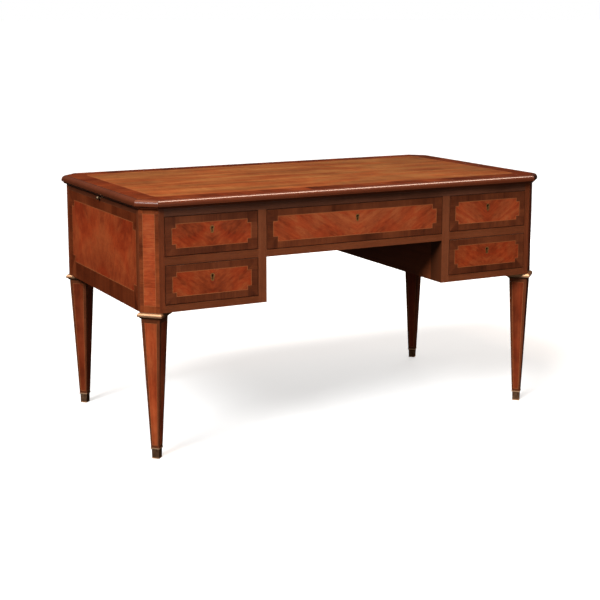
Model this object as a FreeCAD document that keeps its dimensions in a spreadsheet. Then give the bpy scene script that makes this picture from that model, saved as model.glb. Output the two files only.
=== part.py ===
import FreeCAD, Part
import os
import re
import Sketcher

# Writing table with a flat top, two drawer pedestals and square tapered legs.
# Frame: origin on the floor under the middle of the top, +X to the right, +Y to the back, +Z up.
# Every size is in millimetres.

Vector = FreeCAD.Vector

SIZES = {
    # Top and its moulded edge
    "top_thickness": "25",
    "top_overhang": "15",
    "moulding_width": "30",
    "moulding_round": "14",
    "moulding_cove": "6.5",
    "mitre_gap": "0.1",
    # Plan of the case
    "case_depth": "730",
    "post_side": "60",
    "corner_cant": "43",
    "pedestal_opening": "292",
    "knee_stile": "27",
    "knee_opening": "612",
    # Heights of the front, from the floor up
    "leg_length": "436",
    "bottom_rail": "21",
    "drawer_opening": "115",
    "divider_rail": "24",
    "top_rail": "24",
    "centre_opening": "119",
    "centre_rail": "21",
    # Boards and joints of the case
    "side_thickness": "22",
    "back_thickness": "20",
    "knee_side_thickness": "20",
    "bottom_thickness": "8",
    "tongue_thickness": "7",
    "tongue_length": "8",
    "tenon_length": "18",
    "tenon_inset": "18",
    "tenon_shoulder": "5",
    "stub_length": "10",
    "stile_web": "3",
    # Runners, kickers and stops
    "runner_bearing": "15",
    "runner_height": "12",
    "guide_height": "12",
    "kicker_thickness": "5",
    "stop_length": "30",
    "stop_width": "14",
    "stop_height": "7",
    "stop_margin": "45",
    # Drawers
    "drawer_back_space": "80",
    "drawer_gap": "1.6",
    "run_clearance": "0.3",
    "front_thickness": "20",
    "front_lap": "6",
    "front_ease": "0.6",
    "drawer_side": "10",
    "drawer_back": "10",
    "drawer_bottom": "6",
    "bottom_rise": "10",
    "groove_depth": "5",
    "side_drop": "4",
    "back_inset": "12",
    "back_drop": "8",
    "tail_count": "3",
    "tail_flare": "2.5",
    "pin_width": "16",
    # Drawer locks and keyholes
    "lock_width": "64",
    "lock_tail": "20",
    "lock_depth": "11",
    "lock_plate": "2",
    "lock_flange": "8",
    "bolt_width": "20",
    "bolt_thickness": "4.5",
    "bolt_length": "18",
    "bolt_throw": "8",
    "bolt_room": "1",
    "keyhole_drop": "39",
    "keyhole_radius": "3.5",
    "keyhole_slot": "3",
    "keyhole_length": "12",
    "key_depth": "6",
    "escutcheon_wall": "3.5",
    "escutcheon_depth": "3",
    "escutcheon_proud": "0.4",
    # Legs and their brass
    "leg_top": "59.5",
    "leg_ankle": "25.5",
    "leg_peg": "20",
    "leg_foot": "18.5",
    "leg_arris": "0.8",
    "collar_height": "17.5",
    "collar_reach": "8.3",
    "collar_foot": "1.5",
    "collar_cap": "1.2",
    "collar_nose": "2.5",
    "collar_nose_z": "5.5",
    "collar_round": "9",
    "collar_hollow": "8",
    "collar_seat": "3",
    "sabot_height": "33",
    "sabot_floor": "2",
    "sabot_wall": "1.5",
    "sabot_rim": "0.5",
    "sabot_rim_height": "2.5",
    "sabot_lip": "2",
    "sabot_lip_height": "4",
    # Side slides
    "slide_tail": "51",
    "slide_edge": "22",
    "slide_gap": "0.8",
    "slide_headroom": "1.2",
    "knob_radius": "5.5",
    "knob_reach": "12",
    "knob_neck": "2.6",
    "knob_plate_radius": "4.6",
    "knob_plate": "1.2",
    "knob_peg": "8",
}

PLACES = {
    # Across the case, from its middle plane
    "knee_x": "knee_opening / 2",
    "pedestal_x": "knee_x + knee_stile",
    "post_x": "pedestal_x + pedestal_opening",
    "half_length": "post_x + post_side",
    "side_inner_x": "half_length - side_thickness",
    "knee_inner_x": "knee_x + knee_side_thickness",
    # From the middle to the back or front
    "half_depth": "case_depth / 2",
    "post_y": "half_depth - post_side",
    "back_y": "half_depth - back_thickness",
    "drawer_length": "case_depth - back_thickness - drawer_back_space",
    # Heights
    "lower_z": "leg_length + bottom_rail",
    "divider_z": "lower_z + drawer_opening",
    "upper_z": "divider_z + divider_rail",
    "top_rail_z": "upper_z + drawer_opening",
    "top_z": "top_rail_z + top_rail",
    "centre_z": "top_rail_z - centre_opening",
    "centre_rail_z": "centre_z - centre_rail",
    "slide_z": "top_rail_z + kicker_thickness",
    # Top: an edge line parallel to the case, and the core inside the moulding
    "edge_x": "half_length + top_overhang",
    "edge_y": "half_depth + top_overhang",
    "edge_cant": "corner_cant + top_overhang * (2 - sqrt(2))",
    "core_x": "edge_x - moulding_width",
    "core_y": "edge_y - moulding_width",
    "core_cant": "edge_cant - moulding_width * (2 - sqrt(2))",
    # Leg axis: the outer face of the leg lies in the plane of the cut corner
    "leg_inset": "corner_cant / 2 + leg_top / (2 * sqrt(2))",
    "leg_x": "half_length - leg_inset",
    "leg_y": "half_depth - leg_inset",
    # Tenons that enter a knee stile from both sides meet at a web
    "stile_tenon": "(knee_stile - stile_web) / 2",
    # A slide's tail reaches past the inner side of its pedestal
    "slide_length": "half_length - knee_x + slide_tail",
    "slide_thickness": "top_z - slide_z - run_clearance - slide_headroom",
    "slide_half_width": "post_y - slide_gap",
    "knob_z": "slide_z + run_clearance + slide_thickness / 2",
}

# Each drawer: left side, floor, width and height of its opening in the front
DRAWERS = {
    "drawer_left_upper": ("-post_x", "upper_z", "pedestal_opening", "drawer_opening"),
    "drawer_left_lower": ("-post_x", "lower_z", "pedestal_opening", "drawer_opening"),
    "drawer_centre": ("-knee_x", "centre_z", "knee_opening", "centre_opening"),
    "drawer_right_upper": ("pedestal_x", "upper_z", "pedestal_opening", "drawer_opening"),
    "drawer_right_lower": ("pedestal_x", "lower_z", "pedestal_opening", "drawer_opening"),
}

WORD = re.compile(r"[a-z_][a-z_0-9]*")
ACROSS = Vector(1, 0, 0)
DEEP = Vector(0, 1, 0)

doc = FreeCAD.newDocument("writing_table")


def fill_sheet(name, cells):
    """A sheet with one named cell in column B for each entry, and its name in column A."""
    sheet = doc.addObject("Spreadsheet::Sheet", name)
    for row, (alias, content) in enumerate(cells.items(), start=1):
        sheet.set(f"A{row}", alias)
        sheet.set(f"B{row}", content)
        sheet.setAlias(f"B{row}", alias)
    doc.recompute()
    return sheet


def with_sheets(text, own_sheet=""):
    """The formula with each size or place written as sheet.name, apart from those of own_sheet."""
    def owner(match):
        word = match.group(0)
        for sheet_name, cells in (("sizes", SIZES), ("places", PLACES)):
            if word in cells and sheet_name != own_sheet:
                return f"{sheet_name}.{word}"
        return word
    return WORD.sub(owner, text)


fill_sheet("sizes", SIZES)
places = fill_sheet("places", {name: "=" + with_sheets(text, "places") for name, text in PLACES.items()})


def value(text):
    """The number that a formula gives now."""
    return float(places.evalExpression(with_sheets(text)))


def bind(thing, **formulas):
    """Tie properties of a document object to formulas; x, y and z are its place."""
    for key, text in formulas.items():
        target = f".Placement.Base.{key}" if key in ("x", "y", "z") else key
        thing.setExpression(target, with_sheets(text))
    return thing


def box(name, corner, size):
    """A rectangular block from its lowest corner and its three sizes."""
    block = doc.addObject("Part::Box", name)
    bind(block, x=corner[0], y=corner[1], z=corner[2])
    return bind(block, Length=size[0], Width=size[1], Height=size[2])


def rod(name, base, radius, length, axis):
    """A cylinder that starts at base and runs along axis."""
    cylinder = doc.addObject("Part::Cylinder", name)
    cylinder.Placement.Rotation = FreeCAD.Rotation(Vector(0, 0, 1), axis)
    bind(cylinder, x=base[0], y=base[1], z=base[2])
    return bind(cylinder, Radius=radius, Height=length)


def fuse(name, *members):
    joined = doc.addObject("Part::MultiFuse", name)
    joined.Shapes = list(members)
    joined.Refine = True
    return joined


def cut(name, base, *tools):
    """Base with the tools taken out of it."""
    result = doc.addObject("Part::Cut", name)
    result.Base = base
    result.Tool = tools[0] if len(tools) == 1 else fuse(name + "_tools", *tools)
    result.Refine = True
    return result


def mirrored(name, source, normal):
    """The same piece on the other side of a middle plane of the table."""
    twin = doc.addObject("Part::Mirroring", name)
    twin.Source = source
    twin.Base = Vector(0, 0, 0)
    twin.Normal = normal
    return twin


def right_twin(piece):
    """The right-hand piece of a pair, named after the left-hand one."""
    return mirrored(piece.Name.replace("left", "right"), piece, ACROSS)


def group(name, *members):
    """Separate solids that share one node."""
    compound = doc.addObject("Part::Compound", name)
    compound.Links = list(members)
    return compound


def arc_between(start, end, radius):
    """A short arc over the chord from start to end, drawn counterclockwise as a sketch keeps it.

    A positive radius bulges to the right of the way from start to end, a negative one to the left.
    """
    chord = end - start
    side = Vector(chord.y, -chord.x, 0).normalize()
    half = chord.Length / 2
    sag = abs(radius) - max(radius ** 2 - half ** 2, 0) ** 0.5
    if radius > 0:
        return Part.Arc(start, (start + end) / 2 + side * sag, end)
    return Part.Arc(end, (start + end) / 2 - side * sag, start)


def outline(body, name, plane_role, corners, lift="0", arcs=None):
    """A closed sketch on an origin plane of body.

    corners are pairs of formulas. arcs gives the signed radius of each edge that isn't straight, by the
    number of the corner where the edge starts. lift moves the sketch along the plane's normal.
    """
    arcs = arcs or {}
    sketch = body.newObject("Sketcher::SketchObject", name)
    plane = next(item for item in body.Origin.OriginFeatures if item.Role == plane_role)
    sketch.AttachmentSupport = [(plane, "")]
    sketch.MapMode = "FlatFace"
    sketch.setExpression(".AttachmentOffset.Base.z", with_sheets(lift))
    points = [Vector(value(across), value(up), 0) for across, up in corners]
    ends = []
    for number, start in enumerate(points):
        end = points[(number + 1) % len(points)]
        edge = Part.LineSegment(start, end)
        if number in arcs:
            edge = arc_between(start, end, value(arcs[number]))
        sketch.addGeometry(edge)
        forward = (sketch.Geometry[number].StartPoint - start).Length < 1e-6
        ends.append((1, 2) if forward else (2, 1))
    for number in range(len(points)):
        following = (number + 1) % len(points)
        sketch.addConstraint(
            Sketcher.Constraint("Coincident", number, ends[number][1], following, ends[following][0]))
    for number, formulas in enumerate(corners):
        for kind, text, now in zip(("DistanceX", "DistanceY"), formulas, points[number]):
            constraint = Sketcher.Constraint(kind, -1, 1, number, ends[number][0], now)
            sketch.setExpression(f"Constraints[{sketch.addConstraint(constraint)}]", with_sheets(text))
    for number, text in arcs.items():
        constraint = Sketcher.Constraint("Radius", number, abs(value(text)))
        sketch.setExpression(f"Constraints[{sketch.addConstraint(constraint)}]", f"abs({with_sheets(text)})")
    return sketch


def pad(body, name, sketch, length):
    feature = body.newObject("PartDesign::Pad", name)
    feature.Profile = sketch
    bind(feature, Length=length)
    doc.recompute()
    return feature


def ring(body, name, path, profile):
    """A profile carried round a closed path, with mitred corners."""
    pipe = body.newObject("PartDesign::AdditivePipe", name)
    pipe.Profile = profile
    pipe.Spine = (path, [""])
    pipe.Transition = "Right corner"
    doc.recompute()
    return pipe


def new_body(name):
    return doc.addObject("PartDesign::Body", name)


def eight_sided(half_x, half_y, corner):
    """Corners of a rectangle with its corners cut off, from the middle of the front edge."""
    along = f"{half_x} - {corner}"
    across = f"{half_y} - {corner}"
    return [
        ("0", f"-{half_y}"),
        (along, f"-{half_y}"),
        (half_x, f"-({across})"),
        (half_x, across),
        (along, half_y),
        (f"-({along})", half_y),
        (f"-{half_x}", across),
        (f"-{half_x}", f"-({across})"),
        (f"-({along})", f"-{half_y}"),
    ]


def square(half):
    """Corners of a square about the origin, from the middle of its front edge."""
    return [("0", f"-({half})"), (half, f"-({half})"), (half, half), (f"-({half})", half),
            (f"-({half})", f"-({half})")]


def top_panel():
    """Veneered core of the top, with its corners cut off."""
    body = new_body("top_panel")
    plan = outline(body, "top_panel_plan", "XY_Plane", eight_sided("core_x", "core_y", "core_cant"), "top_z")
    pad(body, "top_panel_pad", plan, "top_thickness")
    return body


def moulded_length(name, outer_half, inner_half, place, angle):
    """A straight length of the moulded edge with both ends mitred.

    It is drawn along X with its outer edge at y = 0, then turned by angle and carried to place.
    """
    bar = new_body(name + "_bar")
    profile = outline(bar, name + "_profile", "YZ_Plane", [
        ("moulding_width", "0"),
        ("moulding_width", "top_thickness"),
        ("moulding_round", "top_thickness"),
        ("0", "top_thickness - moulding_round"),
        ("0", "moulding_cove"),
        ("moulding_cove", "0"),
    ], f"-({outer_half})", arcs={2: "moulding_round", 4: "-moulding_cove"})
    pad(bar, name + "_run", profile, f"2 * ({outer_half})")
    mitre = new_body(name + "_mitre")
    plan = outline(mitre, name + "_plan", "XY_Plane", [
        (f"-({outer_half} - mitre_gap)", "0"),
        (f"{outer_half} - mitre_gap", "0"),
        (f"{inner_half} - mitre_gap", "moulding_width"),
        (f"-({inner_half} - mitre_gap)", "moulding_width"),
    ])
    pad(mitre, name + "_block", plan, "top_thickness")
    for body in (bar, mitre):
        body.Placement.Rotation = FreeCAD.Rotation(Vector(0, 0, 1), angle)
        bind(body, x=place[0], y=place[1], z="top_z")
    length = doc.addObject("Part::Common", name)
    length.Base = bar
    length.Tool = mitre
    return length


def top_edge_moulding():
    """Eight lengths of moulded edge, mitred at the ends of the cut corners."""
    front = moulded_length("moulding_front", "edge_x - edge_cant", "core_x - core_cant", ("0", "-edge_y"), 0)
    left = moulded_length("moulding_left", "edge_y - edge_cant", "core_y - core_cant", ("-edge_x", "0"), -90)
    corner = moulded_length("moulding_corner_left", "edge_cant / sqrt(2)", "core_cant / sqrt(2)",
                            ("-edge_x + edge_cant / 2", "-edge_y + edge_cant / 2"), -45)
    back_corner = mirrored("moulding_back_corner_left", corner, DEEP)
    lengths = [front, mirrored("moulding_back", front, DEEP), left, corner, back_corner]
    rights = [right_twin(length) for length in (left, corner, back_corner)]
    return group("top_edge_moulding", *lengths, *rights)


def leg_section(width):
    """Corners of a leg's section: a square on its point about the leg's axis, with its arrises taken off."""
    ease = "leg_arris / sqrt(2)"
    reach = f"({width} / sqrt(2) - {ease})"
    steps = [("-" + ease, "-" + reach), (ease, "-" + reach), (reach, "-" + ease), (reach, ease),
             (ease, reach), ("-" + ease, reach), ("-" + reach, ease), ("-" + reach, "-" + ease)]
    return [(f"-leg_x + ({across})", f"-leg_y + ({deep})") for across, deep in steps]


def leg_blank():
    """Front left post with its tapered leg, before the mortises are cut.

    Below the ankle the leg steps in to a peg that fills the brass shoe.
    """
    body = new_body("leg_blank")
    post = outline(body, "post_plan", "XY_Plane", [
        ("-half_length + corner_cant", "-half_depth"),
        ("-post_x", "-half_depth"),
        ("-post_x", "-post_y"),
        ("-half_length", "-post_y"),
        ("-half_length", "-half_depth + corner_cant"),
    ], "leg_length")
    pad(body, "post_pad", post, "top_z - leg_length")
    for name, high, low in (
            ("leg_taper", ("leg_top", "leg_length"), ("leg_ankle", "sabot_height")),
            ("leg_foot_taper", ("leg_peg", "sabot_height"), ("leg_foot", "sabot_floor"))):
        loft = body.newObject("PartDesign::AdditiveLoft", name)
        loft.Profile = outline(body, name + "_top", "XY_Plane", leg_section(high[0]), high[1])
        loft.Sections = [outline(body, name + "_end", "XY_Plane", leg_section(low[0]), low[1])]
        doc.recompute()
    return body


def on_legs(name, template_body, front_leg):
    """One copy of a fitting on each leg, hollowed to the leg."""
    bind(template_body, x="-leg_x", y="-leg_y")
    template_body.Placement.Rotation = FreeCAD.Rotation(Vector(0, 0, 1), 45)
    front_left = cut(name + "_front_left", template_body, front_leg)
    back_left = mirrored(name + "_back_left", front_left, DEEP)
    return group(name, front_left, back_left, right_twin(front_left), right_twin(back_left))


def leg_collars(front_leg):
    """Square moulded brass collars under the case."""
    body = new_body("collar_ring")
    path = outline(body, "collar_path", "XY_Plane", square("leg_top / 2"), "leg_length - collar_height")
    low = "leg_length - collar_height"
    nose = f"{low} + collar_nose_z"
    profile = outline(body, "collar_profile", "YZ_Plane", [
        ("-leg_top / 2 + collar_seat", low),
        ("-leg_top / 2 + collar_seat", "leg_length"),
        ("-leg_top / 2 - collar_cap", "leg_length"),
        ("-leg_top / 2 - collar_reach", f"{nose} + collar_nose"),
        ("-leg_top / 2 - collar_reach", nose),
        ("-leg_top / 2 - collar_foot", low),
    ], arcs={2: "collar_round", 4: "-collar_hollow"})
    ring(body, "collar_pipe", path, profile)
    return on_legs("leg_collars", body, front_leg)


def leg_sabots(front_leg):
    """Brass shoes with a rim at the floor and a lip round the top."""
    body = new_body("sabot_cup")
    path = outline(body, "sabot_path", "XY_Plane", square("leg_foot / 2"))
    face = "-leg_foot / 2 - sabot_wall"
    spread = "(leg_peg - leg_foot) / 2 / (sabot_height - sabot_floor)"
    lip_z = "sabot_height - sabot_lip_height"
    profile = outline(body, "sabot_profile", "YZ_Plane", [
        ("-leg_foot / 2 + sabot_wall", "0"),
        ("-leg_foot / 2 + sabot_wall", "sabot_height"),
        (f"{face} - sabot_lip - sabot_height * {spread}", "sabot_height"),
        (f"{face} - sabot_lip - sabot_height * {spread}", lip_z),
        (f"{face} - ({lip_z}) * {spread}", lip_z),
        (f"{face} - sabot_rim_height * {spread}", "sabot_rim_height"),
        (f"{face} - sabot_rim", "sabot_rim_height"),
        (f"{face} - sabot_rim", "0"),
    ])
    ring(body, "sabot_pipe", path, profile)
    sole = outline(body, "sabot_sole_plan", "XY_Plane", square("leg_foot / 2"))
    pad(body, "sabot_sole", sole, "sabot_floor")
    return on_legs("leg_sabots", body, front_leg)


def tenoned_rail(name, left, right, floor, height, left_tenon, right_tenon):
    """A flat front rail as deep as the posts, with a tenon at each end."""
    span = f"{right} - ({left})"
    blank = box(name + "_rail", (left, "-half_depth", floor), (span, "post_side", height))
    tenon = box(name + "_tenons",
                (f"{left} - {left_tenon}", "-half_depth + tenon_inset", f"{floor} + tenon_shoulder"),
                (f"{span} + {left_tenon} + {right_tenon}", "post_side - 2 * tenon_inset",
                 f"{height} - 2 * tenon_shoulder"))
    return fuse(name, blank, tenon)


def bolt_mortise(drawer):
    """Hole in the rail above a drawer for its lock bolt."""
    left, floor, wide, tall = DRAWERS[drawer]
    return box(drawer + "_mortise",
               (f"{left} + {wide} / 2 - bolt_width / 2 - bolt_room",
                "-half_depth + front_thickness - lock_depth / 2 - bolt_thickness / 2 - bolt_room",
                f"{floor} + {tall}"),
               ("bolt_width + 2 * bolt_room", "bolt_thickness + 2 * bolt_room", "bolt_throw"))


def tongued_panel(name, corner, size, long_axis, thin_axis):
    """A panel whose ends along long_axis carry a tongue in the middle of its thickness."""
    panel = box(name + "_board", corner, size)
    tongue_corner, tongue_size = list(corner), list(size)
    tongue_corner[long_axis] = f"{corner[long_axis]} - tongue_length"
    tongue_size[long_axis] = f"{size[long_axis]} + 2 * tongue_length"
    tongue_corner[thin_axis] = f"{corner[thin_axis]} + ({size[thin_axis]} - tongue_thickness) / 2"
    tongue_size[thin_axis] = "tongue_thickness"
    return fuse(name, panel, box(name + "_tongue", tongue_corner, tongue_size))


def case_frame():
    """Posts and legs, rails, stiles and panels, with each mortise and groove cut by the piece it holds."""
    side_left = tongued_panel("side_panel_left", ("-half_length", "-post_y", "leg_length"),
                              ("side_thickness", "2 * post_y", "slide_z - leg_length"), 1, 0)
    back_left = tongued_panel("back_panel_left", ("-post_x", "back_y", "leg_length"),
                              ("pedestal_opening", "back_thickness", "top_rail_z - leg_length"), 0, 1)
    back_centre = tongued_panel("back_panel_centre", ("-knee_x", "back_y", "centre_rail_z"),
                                ("knee_opening", "back_thickness", "top_rail_z - centre_rail_z"), 0, 1)
    knee_left = tongued_panel("knee_side_left", ("-knee_inner_x", "-post_y", "leg_length"),
                              ("knee_side_thickness", "2 * post_y", "top_rail_z - leg_length"), 1, 0)

    plain_top_rail = tenoned_rail("top_rail_blank", "-post_x", "post_x", "top_rail_z", "top_rail",
                                  "tenon_length", "tenon_length")
    divider = tenoned_rail("divider_rail_left", "-post_x", "-pedestal_x", "divider_z", "divider_rail",
                           "tenon_length", "stile_tenon")
    bottom = tenoned_rail("bottom_rail_left", "-post_x", "-pedestal_x", "leg_length", "bottom_rail",
                          "tenon_length", "stile_tenon")
    centre = tenoned_rail("centre_rail_blank", "-knee_x", "knee_x", "centre_rail_z", "centre_rail",
                          "stile_tenon", "stile_tenon")
    back_rail_blank = mirrored("back_rail_blank", plain_top_rail, DEEP)

    stile_post = box("stile_post", ("-pedestal_x", "-half_depth", "leg_length"),
                     ("knee_stile", "post_side", "top_rail_z - leg_length"))
    stile_tenon = box("stile_top_tenon",
                      ("-pedestal_x + tenon_shoulder", "-half_depth + tenon_inset", "leg_length"),
                      ("knee_stile - 2 * tenon_shoulder", "post_side - 2 * tenon_inset",
                       "top_rail_z + stub_length - leg_length"))
    stile_blank = fuse("stile_blank", stile_post, stile_tenon)
    stile_back_blank = mirrored("stile_back_blank", stile_blank, DEEP)
    stile_front = cut("stile_front_left", stile_blank, divider, bottom, centre, knee_left)
    stile_back = cut("stile_back_left", stile_back_blank, back_left, back_centre, knee_left)
    stiles = [stile_front, stile_back, right_twin(stile_front), right_twin(stile_back)]

    stile_blank_right = mirrored("stile_blank_right", stile_blank, ACROSS)
    stile_back_right = mirrored("stile_back_blank_right", stile_back_blank, ACROSS)
    under_top_rail = ("drawer_left_upper", "drawer_centre", "drawer_right_upper")
    upper_mortises = [bolt_mortise(name) for name in under_top_rail]
    top_rail = cut("front_top_rail", plain_top_rail, stile_blank, stile_blank_right, *upper_mortises)
    back_rail = cut("back_top_rail", back_rail_blank, stile_back_blank, stile_back_right)
    divider_left = cut("divider_left", divider, bolt_mortise("drawer_left_lower"))
    rails = [divider_left, bottom, centre, right_twin(divider_left), right_twin(bottom)]

    blank = leg_blank()
    blank_back = mirrored("leg_blank_back", blank, DEEP)
    front_leg = cut("leg_front_left", blank, plain_top_rail, divider, bottom, side_left)
    back_leg = cut("leg_back_left", blank_back, back_rail_blank, back_left, side_left)
    paired = [side_left, back_left, knee_left, front_leg, back_leg]
    return [
        *paired,
        *(right_twin(piece) for piece in paired),
        back_centre,
        top_rail,
        back_rail,
        group("drawer_rails", *rails),
        group("knee_stiles", *stiles),
        leg_collars(front_leg),
        leg_sabots(front_leg),
    ]


def long_bar(name, corners):
    """A bar of one section that runs between the front and back rails."""
    body = new_body(name)
    section = outline(body, name + "_section", "XZ_Plane", corners, "-post_y")
    pad(body, name + "_pad", section, "2 * post_y")
    return body


def drawer_supports():
    """Runners, kickers, stops and floor boards inside the case."""
    runners = []
    for level, floor in (("lower", "lower_z"), ("upper", "upper_z")):
        low, high = f"{floor} - runner_height", f"{floor} + guide_height"
        for place, wall, guide, bearing in (
                ("outer", "side_inner_x", "post_x", "post_x - runner_bearing"),
                ("inner", "knee_inner_x", "pedestal_x", "pedestal_x + runner_bearing")):
            runner = long_bar(f"runner_left_{place}_{level}", [
                (f"-({wall})", low), (f"-({bearing})", low), (f"-({bearing})", floor),
                (f"-({guide})", floor), (f"-({guide})", high), (f"-({wall})", high)])
            runners += [runner, right_twin(runner)]

    centre_runner = box("centre_runner_left", ("-knee_x", "-post_y", "centre_z - runner_height"),
                        ("runner_bearing", "2 * post_y", "runner_height"))
    kickers = [
        box("kicker_left_outer", ("-side_inner_x", "-post_y", "top_rail_z"),
            ("side_inner_x - post_x + runner_bearing", "2 * post_y", "kicker_thickness")),
        box("kicker_left_inner", ("-pedestal_x - runner_bearing", "-post_y", "top_rail_z"),
            ("knee_stile + 2 * runner_bearing", "2 * post_y", "kicker_thickness")),
    ]
    kickers += [right_twin(kicker) for kicker in kickers]
    floor_board = box("pedestal_bottom_left", ("-post_x", "-post_y", "leg_length"),
                      ("pedestal_opening", "post_y + back_y", "bottom_thickness"))

    stops = []
    stop_y = "-half_depth + front_thickness + run_clearance"
    for name, (left, floor, wide, _) in DRAWERS.items():
        starts = {"left": f"{left} + stop_margin", "right": f"{left} + {wide} - stop_margin - stop_length"}
        for side, start in starts.items():
            stops.append(box(f"{name}_stop_{side}", (start, stop_y, floor),
                             ("stop_length", "stop_width", "stop_height")))
    return [
        group("pedestal_runners", *runners),
        group("centre_runners", centre_runner, right_twin(centre_runner)),
        group("kickers", *kickers),
        group("pedestal_bottoms", floor_board, right_twin(floor_board)),
        group("drawer_stops", *stops),
    ]


def keyhole_prism(name, middle, round_z, grow, front_y, depth):
    """Solid with a keyhole's outline, grown by a wall, that runs back from front_y."""
    radius = f"keyhole_radius + {grow}"
    half_slot = f"(keyhole_slot / 2 + {grow})"
    slot_end = f"{round_z} - keyhole_length + keyhole_slot / 2"
    return fuse(
        name,
        rod(name + "_round", (middle, front_y, round_z), radius, depth, DEEP),
        rod(name + "_end", (middle, front_y, slot_end), half_slot, depth, DEEP),
        box(name + "_slot", (f"{middle} - {half_slot}", front_y, slot_end),
            (f"2 * {half_slot}", depth, "keyhole_length - keyhole_slot / 2")))


def drawer_side_blank(name, start_x, floor, tall):
    """A drawer side with its row of dovetails at the front end."""
    low = f"{floor} + run_clearance"
    height = f"({tall} - run_clearance - side_drop)"
    pitch = f"({height} / tail_count)"
    root_y = "-half_depth + front_thickness"
    tip_y = "-half_depth + front_lap"
    end_y = "-half_depth + drawer_length"
    body = new_body(name)
    board = outline(body, name + "_outline", "YZ_Plane", [
        (root_y, low), (end_y, low), (end_y, f"{low} + {height}"), (root_y, f"{low} + {height}")], start_x)
    pad(body, name + "_board", board, "drawer_side")
    tail = outline(body, name + "_tail_outline", "YZ_Plane", [
        (root_y, f"{low} + pin_width / 2"),
        (tip_y, f"{low} + pin_width / 2 - tail_flare"),
        (tip_y, f"{low} + {pitch} - pin_width / 2 + tail_flare"),
        (root_y, f"{low} + {pitch} - pin_width / 2"),
    ], start_x)
    first_tail = pad(body, name + "_tail", tail, "drawer_side")
    tails = body.newObject("PartDesign::LinearPattern", name + "_tails")
    tails.Originals = [first_tail]
    tails.Direction = (tail, ["V_Axis"])
    bind(tails, Length=f"{pitch} * (tail_count - 1)", Occurrences="tail_count")
    body.Tip = tails
    doc.recompute()
    return body


def drawer_front_blank(name, left, floor, wide, tall):
    """A drawer front with its outer edges eased."""
    body = new_body(name)
    right = f"{left} + {wide} - drawer_gap"
    top = f"{floor} + {tall} - drawer_gap"
    start = f"{left} + drawer_gap"
    low = f"{floor} + drawer_gap"
    face = outline(body, name + "_face", "XZ_Plane", [(start, low), (right, low), (right, top), (start, top)],
                   "half_depth - front_thickness")
    board = pad(body, name + "_board", face, "front_thickness")
    outer = max(range(len(board.Shape.Faces)), key=lambda number: -board.Shape.Faces[number].CenterOfMass.y)
    ease = body.newObject("PartDesign::Chamfer", name + "_ease")
    ease.Base = (board, [f"Face{outer + 1}"])
    bind(ease, Size="front_ease")
    doc.recompute()
    return body


def drawer_lock(name, middle, front_top):
    """Solid of a drawer lock, the channel that its bolt runs in, and the bolt.

    The lock is let into the back and the top edge of the drawer front, and the bolt shoots up.
    """
    rear_face = "-half_depth + front_thickness"
    start = f"{middle} - lock_width / 2"
    tall = "(keyhole_drop + lock_tail)"
    low = f"{front_top} - {tall}"
    works_y = f"{rear_face} - lock_depth"
    plate = box(name + "_lock_plate", (start, f"{rear_face} - lock_plate", low),
                ("lock_width", "lock_plate", tall))
    selvedge = box(name + "_lock_selvedge", (start, works_y, f"{front_top} - lock_plate"),
                   ("lock_width", "lock_depth", "lock_plate"))
    works = box(name + "_lock_works", (f"{start} + lock_flange", works_y, f"{low} + lock_flange"),
                ("lock_width - 2 * lock_flange", "lock_depth", f"{tall} - lock_flange"))
    bolt_x = f"{middle} - bolt_width / 2"
    bolt_y = f"{rear_face} - lock_depth / 2 - bolt_thickness / 2"
    bolt_z = f"{front_top} - bolt_length"
    channel = box(name + "_bolt_channel",
                  (f"{bolt_x} - run_clearance", f"{bolt_y} - run_clearance", f"{bolt_z} - run_clearance"),
                  ("bolt_width + 2 * run_clearance", "bolt_thickness + 2 * run_clearance",
                   "bolt_length + run_clearance"))
    bolt = box(name + "_lock_bolt", (bolt_x, bolt_y, bolt_z), ("bolt_width", "bolt_thickness", "bolt_length"))
    return fuse(name + "_lock_blank", plate, selvedge, works), channel, bolt


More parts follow.
